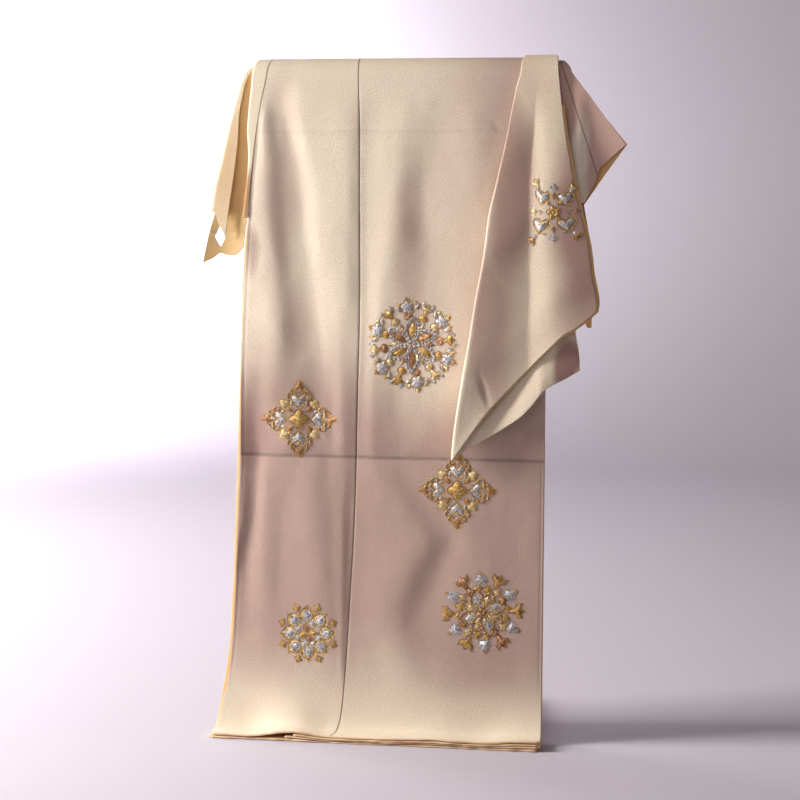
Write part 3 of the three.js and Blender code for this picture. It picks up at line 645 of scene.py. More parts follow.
def over_wall(left_line, right_line, steps, to_seam):
    """One panel of the over layer, between two lines down it."""
    stacked_at = walk(folded_path(OVER), steps)
    single_at = walk(folded_path(OVER_LEFT), steps)
    hem_drop = stacked_at(0)[2]

    def place(u, v):
        y, z, drop = stacked_at(v)
        y_single, z_single, _ = single_at(v)
        close_by_seams = u - 0.095 * math.sin(2 * math.pi * u)
        x = lerp(left_line(drop), right_line(drop), close_by_seams)
        stacked = stack_share(x, hem_drop - drop, hem_drop)
        y, z = lerp(y_single, y, stacked), hem_height(x, lerp(z_single, z, stacked))
        pad = lerp(HEM_PAD * HEM_SWELL(x), CLOTH, rise(6, 20, hem_drop - drop)) / HEM_PAD
        return (x, y - over_relief(x, drop), z), (x, drop, to_seam(x, drop)), pad

    return place


def overlap_to_seam(x, drop):
    """The overlap is sewn to the front down its right, and to the collar down its left."""
    collar_seam = x - OVER_EDGE(drop) + max(drop - 194, 0)
    return min(OVER_SEAM(drop) - SEAM / 2 - x, collar_seam)


# The left overlap (okumi): the narrow panel sewn to the front edge of the left front. Dyed silk
# crepe, fully lined. It lies outermost: up from the hem, over the rail, and down to the fold behind.
OVER_STEPS = [10, 26, 250, 14, 56, 8, 3]
left_overlap = hang(
    "left_overlap_panel",
    54,
    sum(OVER_STEPS),
    over_wall(OVER_EDGE, lambda drop: OVER_SEAM(drop) - SEAM / 2, OVER_STEPS, overlap_to_seam),
    HEM_PAD,
    [body_crepe, lining_silk],
)
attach(left_overlap, "root")
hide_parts("left_okumi")

# The left front (mae-migoro): the wide panel, sewn to the overlap down its left and to the back
# panel at its right. Lined silk crepe, laid over the rail with it and folded behind.
OVER_SIDE = curve_of((-375, 186), (-40, 189), (880, 190), (918, 191))
left_front = hang(
    "left_front_panel",
    86,
    sum(OVER_STEPS),
    over_wall(
        lambda drop: OVER_SEAM(drop) + SEAM / 2,
        OVER_SIDE,
        OVER_STEPS,
        lambda x, drop: x - OVER_SEAM(drop) - SEAM / 2,
    ),
    HEM_PAD,
    [body_crepe, lining_silk],
)
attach(left_front, "root")
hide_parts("left_front")

# The two back panels (ushiro-migoro), sewn together down the centre back and folded there, crepe to
# crepe: two plies between the fronts, with a rounded fold at their left.
BACK = {"rail": 17.1, "foot": 51.5, "table": 7.4}
BACK_SIDE = curve_of((-375, 185), (0, 187.5), (918, 189.5))
BACK_STEPS = [10, 24, 60, 12, 20]
back_at = walk(drape_path(BACK, INNER_END), BACK_STEPS)
back_hem_drop = back_at(0)[2]


def back_place(u, v):
    y, z, drop = back_at(v)
    y_on, z_on, _ = back_at(v + 1e-4)
    y_off, z_off, _ = back_at(v - 1e-4)
    away = Vector((y_off - y_on, z_off - z_on)).normalized()
    near_hem = fall(12, 40, back_hem_drop - drop)
    turn = 0.035
    right, left = BACK_SIDE(drop), BACK_EDGE(drop)
    flat = clamp((abs(u - 0.5) - turn) / (0.5 - turn))
    x = lerp(left, right, flat)
    half = lerp(0.8, 1.65 * HEM_SWELL(x), near_hem)
    angle = math.pi * clamp((u - 0.5 + turn) / (2 * turn))
    x = x + half - half * math.sin(angle)
    side = -math.cos(angle) * half
    ply = lerp(CLOTH, 3.1 * HEM_SWELL(x), near_hem) / HEM_PAD
    z = hem_height(x, z)
    return (x, y + away.y * side, z + away.x * -side), (x, drop), ply


back_panels = hang("back_panel_plies", 120, sum(BACK_STEPS), back_place, HEM_PAD, [lining_silk, body_crepe])
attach(back_panels, "root")
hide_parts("back_panels")

# The right front and right overlap lie lowest, lining to the viewer. The overlap's edge shows as a
# golden strip past the left edge of the layers over it. Crepe outside, silk lining inside.
UNDER = {"rail": 14.2, "foot": 44, "table": 1.7}
UNDER_EDGE = curve_of(
    (-375, -80), (-60, -174), (-20, -194), (60, -201), (160, -214), (230, -226), (443, -234),
    (640, -241), (778, -248), (864, -260), (905, -266.5),
)
UNDER_SEAM = curve_of((-375, -68), (550, -74), (829, -88), (918, -99))
UNDER_SIDE = curve_of((-375, 184), (0, 186), (918, 188))
UNDER_STEPS = [8, 22, 90, 12, 24]


def under_wall(left_line, right_line):
    at = walk(drape_path(UNDER, INNER_END), UNDER_STEPS)
    hem_drop = at(0)[2]

    def place(u, v):
        y, z, drop = at(v)
        x = lerp(left_line(drop), right_line(drop), u)
        pad = lerp(HEM_PAD * HEM_SWELL(x), CLOTH, rise(6, 20, hem_drop - drop)) / HEM_PAD
        return (x, y, hem_height(x, z)), (x, drop), pad

    return place


right_overlap = hang(
    "right_overlap_panel",
    24,
    sum(UNDER_STEPS),
    under_wall(UNDER_EDGE, lambda drop: UNDER_SEAM(drop) - SEAM / 2),
    HEM_PAD,
    [lining_silk, body_crepe],
)
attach(right_overlap, "root")
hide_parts("right_okumi")
right_front = hang(
    "right_front_panel",
    30,
    sum(UNDER_STEPS),
    under_wall(lambda drop: UNDER_SEAM(drop) + SEAM / 2, UNDER_SIDE),
    HEM_PAD,
    [lining_silk, body_crepe],
)
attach(right_front, "root")
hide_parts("right_front")

# The padded hem (fuki): lining turned out past the crepe round a little wadding, a soft roll along
# the foot of each layer. Four lie on each other at the right, two beyond the back panels' fold.
# Each roll: its ends, the height of its middle at the left and on the stack, its reach, and a seed.
HEM_ROLLS = {
    "over_hem_roll": (-262, 189.5, 5.7, 13.1, 0.0, 1.9),
    "back_upper_hem_roll": (-148, 189, 9.05, 9.05, 1.1, 4.1),
    "back_lower_hem_roll": (-160, 188, 5.75, 5.75, 0.4, 6.3),
    "under_hem_roll": (-264, 187, 1.75, 1.75, 0.6, 8.8),
}


def hem_roll(name, left, right, height, stacked_height, forward, seed):
    """A roll from left to right along the hem, its ends rounded, its line a little uneven."""
    mesh = bmesh.new()
    rings = int((right - left) / 1.6)
    bmesh.ops.create_uvsphere(mesh, u_segments=12, v_segments=rings, radius=1)
    cut = mesh.loops.layers.uv.new("cut")
    for vertex in mesh.verts:
        along = math.acos(clamp(vertex.co.z, -1, 1)) / math.pi
        around = math.atan2(vertex.co.y, vertex.co.x)
        x = lerp(left, right, along)
        uneven = noise.noise(Vector((x / 17, seed, 0.3)))
        end = min(x - left, right - x)
        full = math.sqrt(1 - (1 - clamp(end / 3)) ** 2)
        half_height = 1.7 * HEM_SWELL(x) * (1 + 0.3 * uneven)
        y = -HEM_REACH - forward - 1.7 * uneven + 2.9 * full * math.cos(around)
        middle = lerp(height, stacked_height, stack_share(x, 0, back_hem_drop)) * HEM_SWELL(x)
        z = middle + full * half_height * math.sin(around)
        vertex.co = Vector((x, y, max(z, 0.05))) * MM
    for face in mesh.faces:
        face.smooth = True
        for loop in face.loops:
            loop[cut].uv = (loop.vert.co.x, loop.vert.co.z)
    bmesh.ops.recalc_face_normals(mesh, faces=mesh.faces)
    data = bpy.data.meshes.new(name)
    mesh.to_mesh(data)
    mesh.free()
    data.materials.append(hem_silk)
    roll = add_object(name, data)
    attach(roll, "root")


hem_silk = silk_lining("hem_silk", srgb(196, 160, 126), srgb(224, 194, 158))
for roll_name, roll_sizes in HEM_ROLLS.items():
    hem_roll(roll_name, *roll_sizes)

# The left collar (eri): a strip of the same crepe sewn to the overlap's edge, doubled under itself
# at its left. It ends a little below the fold of the lapel, with its lower end turned square.
COLLAR_END = 713
COLLAR_WIDTH = curve_of(
    (-375, 52), (-60, 30), (-32, 20.5), (-6, 20.5), (20, 18), (55, 14.5), (75, 13), (100, 8),
    (116, 6), (150, 5), (194, 6.5),
)
COLLAR_TURN = 2
PLY = 1.1


def lean_at(layer, z):
    return lerp(layer["foot"], layer["rail"], clamp((z - BEND_TOP) / (RAIL_HEIGHT - BEND_TOP)))


collar_path = [
    straight((-lean_at(OVER, COLLAR_END), COLLAR_END), (-OVER["rail"], RAIL_HEIGHT)),
    round_turn((0, RAIL_HEIGHT), OVER["rail"], math.pi, 0),
    straight((OVER["rail"], RAIL_HEIGHT), (OVER["rail"], BACK_FOLD - 2)),
]
COLLAR_STEPS = [70, 12, 40]
collar_at = walk(collar_path, COLLAR_STEPS, 1)


def left_collar_place(u, v):
    """Share runs from the seam across the face, round the turned edge, and back under."""
    y, z, drop = collar_at(v)
    y_on, z_on, _ = collar_at(v + 1e-4)
    y_off, z_off, _ = collar_at(v - 1e-4)
    way = Vector((y_on - y_off, z_on - z_off)).normalized()
    width = COLLAR_WIDTH(drop) - COLLAR_TURN
    share = 1 - u
    turn_from, turn_to = 0.55, 0.85
    angle = math.pi * clamp((share - turn_from) / (turn_to - turn_from))
    across = min(share / turn_from, 1) * width + COLLAR_TURN * math.sin(angle)
    inside = (max(share - turn_to, 0) / (1 - turn_to)) * min(width, 3)
    depth = COLLAR_TURN * (1 - math.cos(angle))
    out = over_relief(OVER_EDGE(drop), drop)
    x = OVER_EDGE(drop) - SEAM - across + inside
    return (x, y + way.y * depth - out, z - way.x * depth), (-share * 30, drop, across), 1


collar_crepe = dyed_crepe_with_painted_light(
    "collar_crepe", srgb(240, 222, 184), srgb(216, 180, 134), [(25, 120, 90, 130, 0.2, 0.8)]
)
# The strip's lower part is clouded golden brown: a golden tone darkened as painted shadow of the free collar
# end.
strip_crepe = dyed_crepe_with_painted_light(
    "strip_crepe", srgb(238, 222, 194), srgb(170, 122, 72), [(-14, 175, 26, 80, 0.4, 1.0)]
)
left_collar = hang("left_collar_strip", 26, sum(COLLAR_STEPS), left_collar_place, PLY, [strip_crepe])
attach(left_collar, "root")
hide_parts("left_collar")

# The right collar hangs free past the rail's left end, twisted: its crepe face rolls round the left
# side over its golden lining, which shows between, below it, and at the pointed corner.
FREE_ROWS = [
    (-330, -118, -117, 0.9), (-60, -202, -200, 0.9), (-22, -211, -208, 0.9), (-7, -219, -214, 0.9),
    (7, -227, -222, 1.4), (28, -234, -227.5, 2), (56, -242, -232.5, 2.6), (86, -250, -234, 3.2),
    (119, -258, -237.5, 3.8), (157, -268, -243, 4.2), (188, -274, -248, 4.6), (213, -282, -251, 4.6),
    (259, -291, -256, 3),
]
free_outline = curve_of(*[(row[0], row[1]) for row in FREE_ROWS])
free_lip = curve_of(*[(row[0], row[2]) for row in FREE_ROWS])
free_roll = curve_of(*[(row[0], row[3]) for row in FREE_ROWS])
FACE_END = curve_of((-276, 720), (-262, 702), (-253, 690), (-247, 682))
LINING_END = curve_of(
    (-292, 648), (-276, 656), (-262, 664), (-257, 662), (-246, 660.5), (-238, 662), (-231, 668),
    (-224, 676),
)
TWIST_GAP = [(-262, 701), (-254.5, 685), (-261, 672), (-269.5, 686)]
FACE_TOP = 914
FREE_HANG = 650  # about where the free end's lining stops


def free_depth(z, share):
    """How far back the free end hangs: it bellies away from the viewer towards its outer edge."""
    hang_share = clamp((RAIL_HEIGHT - z) / (RAIL_HEIGHT - FREE_HANG))
    return -lean_at(UNDER, z) + 7 * hang_share * share + 3.5 * hang_share * math.sin(math.pi * share)


LINING_STEPS = (70, 12, 14)  # in front, over the rail, and behind


def collar_lining_place(u, v):
    front, over, behind = LINING_STEPS
    share, row = 1 - u, v * sum(LINING_STEPS)
    lifted = clamp(row / front)
    angle = math.pi * clamp((row - front) / over)
    down = clamp((row - front - over) / behind)
    reach = lerp(UNDER_EDGE((1 - lifted) * 243), free_outline((1 - lifted) * 243), share)
    hung = lerp(LINING_END(reach), RAIL_HEIGHT, lifted)
    z = hung + UNDER["rail"] * math.sin(angle) - down * (RAIL_HEIGHT - INNER_END)
    drop = RAIL_HEIGHT - hung if lifted < 1 else -UNDER["rail"] * angle - down * (RAIL_HEIGHT - INNER_END)
    outer = free_outline(drop) + free_roll(drop) + 2 * SEAM
    seam = 1.2 * hump(hung - 692, 2.2)  # the seam across the collar's end
    y = free_depth(hung, share) + seam if lifted < 1 else -UNDER["rail"] * math.cos(angle)
    return (lerp(UNDER_EDGE(drop) - 1.1, outer, share), y, z), (share * 40, drop), 1


# Its colours are lifted as painted light on its upper part, which lies in the free face's shade; it darkens
# to 0.52 between drops 165 and 205 as painted shade on the lower end, which the window lights directly.
collar_silk = silk_lining("collar_silk", srgb(254, 206, 134), srgb(255, 218, 154), (165, 205, 0.52))
collar_lining = hang("right_collar_lining_ply", 40, 120, collar_lining_place, PLY, [collar_silk])
gap_mesh = bmesh.new()
gap_mesh.from_mesh(collar_lining.data)
gap_middle = Vector((-261.7, 0, 686)) * MM
gap_sides = list(zip(TWIST_GAP, TWIST_GAP[1:] + TWIST_GAP[:1]))
for (x_a, z_a), (x_b, z_b) in gap_sides:
    near_gap = [face for face in gap_mesh.faces if (face.calc_center_median() - gap_middle).xz.length < 0.03]
    parts = near_gap + list({edge for face in near_gap for edge in face.edges})
    parts += list({vertex for face in near_gap for vertex in face.verts})
    bmesh.ops.bisect_plane(
        gap_mesh,
        geom=parts,
        plane_co=Vector((x_a, 0, z_a)) * MM,
        plane_no=Vector((z_b - z_a, 0, x_a - x_b)).normalized(),
        dist=1e-6,
    )


def in_gap(point):
    sides = []
    for (x_a, z_a), (x_b, z_b) in gap_sides:
        sides.append((x_b - x_a) * (point.z / MM - z_a) - (z_b - z_a) * (point.x / MM - x_a))
    return (all(s > 0 for s in sides) or all(s < 0 for s in sides)) and point.y < 0


opened = [face for face in gap_mesh.faces if in_gap(face.calc_center_median())]
bmesh.ops.delete(gap_mesh, geom=opened, context="FACES")
gap_mesh.to_mesh(collar_lining.data)
gap_mesh.free()
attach(collar_lining, "root")
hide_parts("right_collar_lining")


def collar_face_place(u, v):
    share = 1 - u
    guess = RAIL_HEIGHT - lerp(700, FACE_TOP, v)
    flat = min(share / 0.5, 1)
    angle = math.pi * clamp((share - 0.5) / 0.5)
    z = lerp(FACE_END(lerp(free_lip(guess), free_outline(guess), flat)), FACE_TOP, v)
    drop = RAIL_HEIGHT - z
    roll = free_roll(drop)
    x = lerp(free_lip(drop), free_outline(drop) + roll, flat) - roll * math.sin(angle)
    back = -math.sqrt(UNDER["rail"] ** 2 - drop**2) if drop < 0 else free_depth(z, 1)
    front = back - max(2 * roll, PLY + SEAM)
    return (x, lerp(front, back, (1 - math.cos(angle)) / 2), z), (share * 50, drop), 1


collar_face = hang("right_collar_face", 36, 70, collar_face_place, PLY, [collar_crepe])
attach(collar_face, "root")
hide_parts("right_collar")

# The left sleeve (sode) comes over the rail's right end and down the front: a bag of crepe folded
# down its left, its open lower edge to the viewer, the inner ply hanging longer than the face.
SLEEVE_FOLD = curve_of(
    (0, 152), (23, 146), (89, 134), (150, 121), (187, 113), (247, 105.5), (301, 96), (354, 88),
    (421, 77), (495, 67), (516, 65.5),
)
SLEEVE_RIGHT = curve_of(
    (0, 201.5), (37, 206), (89, 214), (129, 222), (164, 229), (197, 237), (230, 246), (267, 251),
    (308, 258), (315, 257),
)
SLEEVE_INNER = curve_of((0, 199), (207, 214), (345, 230), (376, 235), (394, 236))
SLEEVE_END = {"fold": 516, "face": 315, "inner": 394}
FACE_RISE = curve_of((0, 0), (0.3, 17), (0.52, 17), (0.75, 15), (0.88, 5), (1, 0))
INNER_RISE = curve_of(
    (0, 0), (0.22, -3), (0.38, -6), (0.52, -7), (0.6, -4), (0.74, 7), (0.89, 2.5), (1, 0),
)
SLEEVE_FACE, SLEEVE_TURNED = 0.5, 0.62
SLEEVE_STEPS = {"behind": 20, "over": 12, "front": 150}
SLEEVE_PINCH = (102, 508, 117, 462, 3.2, 2.2)
SLEEVE_RAIL = 19.96 + 0.8 + 0.4 + 0.6
ARMHOLE_HEIGHT = 700


def inner_depth(drop, hang_share):
    off = SLEEVE_RAIL - OVER["rail"] + 4 * rise(0, 60, drop) + 7 * rise(0, 0.5, hang_share)
    return -lean_at(OVER, RAIL_HEIGHT - drop) - off


def face_wave(across, hang_share):
    """The face's folds: from the folded edge a plane turns away to a sharp hollow, then comes a second
    ridge, and a plane that turns away to the open edge."""
    hollow = lerp(0.485, 0.53, hang_share)
    second = hollow + 0.185
    crest = lerp(0.14, 0.42, hang_share)
    if across < hollow:
        return 1 - (max(across, 0) / hollow) ** 1.4
    if across < second:
        return crest * math.sin(math.pi / 2 * (across - hollow) / (second - hollow))
    return crest - 0.42 * ((across - second) / (1 - second)) ** 1.6


def face_depth(drop, hang_share, across):
    wave = sum(face_wave(across + step, hang_share) for step in (-0.012, 0, 0.012)) / 3
    swell = 10.5 * rise(0, 0.26, hang_share) * (0.4 + 0.6 * math.sqrt(max(hang_share, 0)))
    near_corner = 1 - 0.6 * rise(0.75, 1, hang_share) * fall(0.1, 0.4, across)
    plies = 1.6 + 8 * rise(0, 0.5, hang_share)
    closing = 1 - 0.2 * rise(0.8, 1, hang_share) * rise(0.06, 0.4, across)
    return inner_depth(drop, hang_share) - closing * (plies + swell * wave * near_corner)


def inner_turn(across, hang_share):
    """How far the longer inner ply comes forward below the face's edge, up to a ridge near its right."""
    below = rise(lerp(0.96, 0.72, across), 1, hang_share)
    return 10 * below * clamp(min(across / 0.56, (1 - across) / 0.3))


def sleeve_point(share, hang_share):
    """Share runs from the face's right edge, round the fold, to the inner ply's right edge."""
    fold_drop = SLEEVE_END["fold"] * hang_share
    y_face = face_depth(fold_drop, hang_share, 0)
    y_inner = inner_depth(fold_drop, hang_share)
    turn = (y_inner - y_face) / 2
    middle = SLEEVE_FOLD(fold_drop) + turn / 4
    if SLEEVE_FACE < share < SLEEVE_TURNED:
        angle = math.pi * (share - SLEEVE_FACE) / (SLEEVE_TURNED - SLEEVE_FACE)
        y = (y_inner + y_face) / 2 - turn * math.cos(angle)
        return Vector((middle - turn / 4 * math.sin(angle), y, RAIL_HEIGHT - fold_drop))
    on_face = share <= SLEEVE_FACE
    across = 1 - share / SLEEVE_FACE if on_face else (share - SLEEVE_TURNED) / (1 - SLEEVE_TURNED)
    right_drop = hang_share * SLEEVE_END["face" if on_face else "inner"]
    lift = hang_share**3 * (FACE_RISE(across) if on_face else INNER_RISE(across))
    drop = lerp(fold_drop, right_drop, across) - lift
    right = (SLEEVE_RIGHT if on_face else SLEEVE_INNER)(right_drop)
    if on_face:
        y = lerp(y_face, face_depth(drop, hang_share, across), rise(0, 0.05, across))
        y += pinch(lerp(middle, right, across), RAIL_HEIGHT - drop, *SLEEVE_PINCH)
    else:
        y = inner_depth(drop, hang_share) - inner_turn(across, hang_share)
    return Vector((lerp(middle, right, across), y, RAIL_HEIGHT - drop))


def over_rail(front, steps, armhole_x, drawn_on_rail):
    """Takes a sleeve's rows from its armhole up behind, over the rail and down in front."""
    total = sum(steps.values())

    def at(share, v):
        row = (1 - v) * total
        if row > steps["behind"] + steps["over"]:
            return front(share, (row - steps["behind"] - steps["over"]) / steps["front"])
        point = front(share, 0)
        radius = -point.y
        angle = math.pi * (1 - clamp((row - steps["behind"]) / steps["over"]))
        down = 1 - min(row / steps["behind"], 1)
        drawn = lerp(drawn_on_rail * rise(0, math.pi / 2, angle), 0.82, down)
        z = RAIL_HEIGHT + radius * math.sin(angle) - down * (RAIL_HEIGHT - ARMHOLE_HEIGHT)
        return Vector((lerp(point.x, armhole_x, drawn), -radius * math.cos(angle), z))

    return at


near_sleeve_at = over_rail(sleeve_point, SLEEVE_STEPS, 186, 0.14)


def near_sleeve_place(u, v):
    point = near_sleeve_at(1 - u, v)
    # The edge counts as a seam: a dark line of painted shade runs along the open lower edge, where the face
    # meets the inner ply.
    to_edge = v * sum(SLEEVE_STEPS.values()) / SLEEVE_STEPS["front"] * 400 + 0.4
    return point, (point.x, RAIL_HEIGHT - point.z if point.y < 0 else -40, to_edge), 1


SLEEVE_CLOUDS = [
    (140, 165, 46, 190, 0.4, 0.85),
    (238, 200, 56, 210, 0.35, 0.95),
    (165, 10, 60, 70, 0.1, 0.25),
    (116, 330, 52, 170, 0.3, 0.7),
    # mauve on the inner ply's right plane, laid strong and sharp as painted shade where that plane turns from
    # the light
    (216, 382, 19, 50, 0.5, 1.0),
]
sleeve_crepe = dyed_crepe_with_painted_light("sleeve_crepe", srgb(239, 220, 194), srgb(172, 134, 122), SLEEVE_CLOUDS)
near_sleeve = hang("left_sleeve_bag", 130, sum(SLEEVE_STEPS.values()), near_sleeve_place, PLY, [sleeve_crepe])
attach(near_sleeve, "root")
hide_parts("left_sleeve")

# The left sleeve's lining rolls out a little past its open edge, as a narrow golden lip.
LIP = {"inside": 14, "lip": 3.3, "behind": 1.6, "corner": 0.5, "from": 0.14, "to": 0.42}


def sleeve_lip_place(u, v):
    along = 1 - v
    side = min(along / LIP["corner"], 1)
    below = max((along - LIP["corner"]) / (1 - LIP["corner"]), 0)
    hang_share = lerp(LIP["from"], 1, side)
    inset = lerp(-LIP["lip"], LIP["inside"], u)
    width = SLEEVE_RIGHT(hang_share * SLEEVE_END["face"]) - SLEEVE_FOLD(hang_share * SLEEVE_END["fold"])
    length = lerp(SLEEVE_END["face"], SLEEVE_END["fold"], below)
    sideways = inset / width * SLEEVE_FACE * fall(0, 0.25, below)
    upward = inset / length * rise(0.85, 1, side)
    point = sleeve_point(below * LIP["to"] + sideways, hang_share - upward)
    point.y += LIP["behind"]
    return point, (inset, along * 700), 1


sleeve_lip = hang("left_sleeve_lining_lip", 8, 260, sleeve_lip_place, 0.8, [lining_silk])
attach(sleeve_lip, "root")
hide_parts("left_sleeve_lining")

# The right sleeve lies behind: its corner stands out past the rail's end, crepe in front with a
# seam down it, the golden lining of the inner ply behind.
# Rows of the drop, the left and right edges across, and the place of both towards the viewer.
FAR_FACE = [
    (0, 191.5, 219, -15.9, -15.9), (27, 194, 240, -19, -20), (62, 197, 266, -22.5, -24),
    (95, 200, 292, -25.5, -27), (126, 203, 258, -28, -28), (150, 206, 250, -30, -29),
    (172, 208, 238, -31.5, -30.5),
]
FAR_INNER = [
    (0, 191.5, 219, -14.2, -14.2), (27, 194, 240, -15, -17), (62, 197, 266, -16, -20.5),
    (95, 200, 293.5, -17, -23.5), (135, 204, 265, -19.5, -23), (175, 208, 237.5, -23, -24.5),
    (207, 211, 243.5, -26.5, -27), (247, 215, 251.5, -30.5, -32), (297, 220, 252, -35.5, -37.5),
    (338, 245, 250, -39.5, -40.5),
]

FLAP_SEAM = {"top": (42, 223), "foot": (130, 253)}
FLAP_RIDGE = {"across": 228, "width": 14}


def far_ply(rows, ridge, rows_each):
    """One ply of the corner, from its rows. A ridge above 0 also gives it the seam, a dark line of painted
    shade.
    """
    steps = {"behind": 12, "over": 10, "front": rows_each * (len(rows) - 1)}

    def front(u, hang_share):
        row = hang_share * (len(rows) - 1)
        i = min(int(row), len(rows) - 2)
        drop, left, right, y_left, y_right = [lerp(a, b, row - i) for a, b in zip(rows[i], rows[i + 1])]
        out = ridge * hump(lerp(left, right, u) - FLAP_RIDGE["across"], FLAP_RIDGE["width"])
        out *= rise(0, 0.5, hang_share)
        return Vector((lerp(left, right, u), lerp(y_left, y_right, u) - out, RAIL_HEIGHT - drop))

    at = over_rail(front, steps, 192.5, 0.45)

    def place(u, v):
        point = at(u, v)
        drop = RAIL_HEIGHT - point.z if point.y < 0 else -40
        (top_drop, top_x), (foot_drop, foot_x) = FLAP_SEAM.values()
        seam_x = lerp(top_x, foot_x, (drop - top_drop) / (foot_drop - top_drop))
        to_seam = point.x - seam_x if ridge else 1000
        return point, (point.x, drop, to_seam), 1

    return place, sum(steps.values())


# The flap's pale clouds are painted light: they brighten the strip left of its seam and its lower tail, which
# the near sleeve shades.
flap_crepe = dyed_crepe_with_painted_light(
    "flap_crepe",
    srgb(220, 182, 168),
    srgb(255, 240, 220),
    [(230, 118, 18, 76, 0.45, 1.0), (238, 168, 18, 50, 0.4, 0.9)],
)
flap_place, flap_rows = far_ply(FAR_FACE, 7.5, 16)
flap_face = hang("right_sleeve_face_ply", 50, flap_rows, flap_place, PLY, [flap_crepe])
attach(flap_face, "root")
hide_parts("right_sleeve_face")
flap_inner_place, flap_inner_rows = far_ply(FAR_INNER, 0, 10)
flap_inner = hang("right_sleeve_inner_ply", 40, flap_inner_rows, flap_inner_place, PLY, [lining_silk])
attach(flap_inner, "root")
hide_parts("right_sleeve_inner")

# The embroidery: flower medallions of the ordinary karahana kind, each worked in satin stitch with
# gold, pale gold, silver and copper thread. Every petal is a small raised pad, its rim a couched cord.
THREAD_INPUTS = [
    ("Thread", "Vector", None),
    ("Place", "Vector", None),
    ("Light", "Color", None),
    ("Dark", "Color", None),
]
THREAD_OUTPUTS = [("Color", "Color"), ("Roughness", "Float"), ("Height", "Float")]
satin_stitch, stitch_in, stitch_out = group_of("satin_stitch", THREAD_INPUTS, THREAD_OUTPUTS)
stitch = stitch_in.outputs
stitch_waves = {"Vector": stitch["Thread"], "Scale": 310, "Distortion": 1.2, "Detail": 1}
stitch_rows = add_node(
    satin_stitch, "ShaderNodeTexWave", stitch_waves, wave_type="BANDS", bands_direction="X"
)
# The thread's colour runs between its dark and light tone by a fine noise: painted glints of the metal. The
# same noise sets the roughness.
glint = speckle(satin_stitch, stitch["Place"], 420, 2).outputs["Fac"]
stitch_colour = blend(satin_stitch, remap(satin_stitch, glint, 0.36, 0.62), stitch["Dark"], stitch["Light"])
satin_stitch.links.new(stitch_colour, stitch_out.inputs["Color"])
satin_stitch.links.new(remap(satin_stitch, glint, 0.3, 0.7, 0.6, 0.36), stitch_out.inputs["Roughness"])
satin_stitch.links.new(stitch_rows.outputs["Fac"], stitch_out.inputs["Height"])


def metal_thread(name, light, dark):
    material, tree, shader = new_material(name, Metallic=0.5)
    thread_map = add_node(tree, "ShaderNodeUVMap", uv_map="thread")
    place_on = add_node(tree, "ShaderNodeTexCoord")
    stitched = place_group(tree, satin_stitch, {
        "Thread": thread_map.outputs[0],
        "Place": place_on.outputs["Object"],
        "Light": light,
        "Dark": dark,
    })
    tree.links.new(stitched.outputs["Color"], shader.inputs["Base Color"])
    tree.links.new(stitched.outputs["Roughness"], shader.inputs["Roughness"])
    emboss(tree, shader, stitched.outputs["Height"], 0.5, 0.0004)
    return material


THREADS = [
    metal_thread("gold_thread", srgb(202, 162, 90), srgb(130, 96, 50)),
    metal_thread("pale_gold_thread", srgb(214, 192, 142), srgb(154, 126, 86)),
    metal_thread("silver_thread", srgb(192, 188, 188), srgb(122, 114, 116)),
    metal_thread("copper_thread", srgb(178, 132, 88), srgb(112, 76, 50)),
]
GOLD, PALE, SILVER, COPPER = range(4)


def over_face(x, drop):
    """A point on the outside of the over layer's front, and the way out of it."""

    def middle(x, drop):
        t = 1 - drop / math.dist((-OVER["foot"], BEND_TOP), (-OVER["rail"], RAIL_HEIGHT))
        stacked = stack_share(x, HEM_DROP - drop, HEM_DROP)
        foot = lerp(OVER_LEFT["foot"], OVER["foot"], stacked)
        return Vector(
            (x, lerp(-foot, -OVER["rail"], t) - over_relief(x, drop), lerp(BEND_TOP, RAIL_HEIGHT, t))
        )

    point = middle(x, drop)
    out = (middle(x + 1, drop) - point).cross(point - middle(x, drop + 1)).normalized()
    return point + out * CLOTH / 2, out


def spun(outline, x=0.0, y=0.0, turn=0.0, scale=1.0):
    c, s = math.cos(math.radians(turn)), math.sin(math.radians(turn))
    return [(x + scale * (c * a - s * b), y + scale * (s * a + c * b)) for a, b in outline]


def lobed(lobes, radius, depth):
    """A flower head with rounded lobes, the first one pointing up."""
    outline = []
    steps = lobes * 6
    for step in range(steps):
        angle = 2 * math.pi * step / steps
        reach = radius * (1 - depth + depth * abs(math.cos(lobes * angle / 2)) ** 0.8)
        outline.append((-reach * math.sin(angle), reach * math.cos(angle)))
    return outline


def leaf(length, width, fullness=0.8):
    """A petal from the middle upward, pointed at both ends."""
    sides = [(math.sin(math.pi * t / 8) ** fullness * width / 2, length * t / 8) for t in range(9)]
    return sides + [(-x, y) for x, y in sides[-2:0:-1]]


def ogee(length, width):
    """A broad petal with a drawn-out tip, from the middle upward."""
    profile = [
        (0, 0), (0.3, 0.08), (0.47, 0.26), (0.5, 0.45), (0.42, 0.64), (0.24, 0.78), (0.09, 0.88), (0, 1)
    ]
    sides = [(x * width, y * length) for x, y in profile]
    return sides + [(-x, y) for x, y in sides[-2:0:-1]]


def kite(length, width):
    """A four-cornered lozenge about its middle, its sides a little hollow."""
    half, side = length / 2, width / 2
    corners = [(0, half), (side, 0), (0, -half), (-side, 0)]
    outline = []
    for (xa, ya), (xb, yb) in zip(corners, corners[1:] + corners[:1]):
        outline += [(xa, ya), ((xa + xb) * 0.44, (ya + yb) * 0.44)]
    return outline


def heart(size):
    outline = []
    for step in range(20):
        t = 2 * math.pi * step / 20
        y = 13 * math.cos(t) - 5 * math.cos(2 * t) - 2 * math.cos(3 * t) - math.cos(4 * t)
        x = -16 * math.sin(t) ** 3
        if step in (9, 11):
            x *= 3.6
        outline.append((x * size / 16, (max(y, -14.2) + 2) * size / 16))
    return outline


CURL_TURNS = 0.8


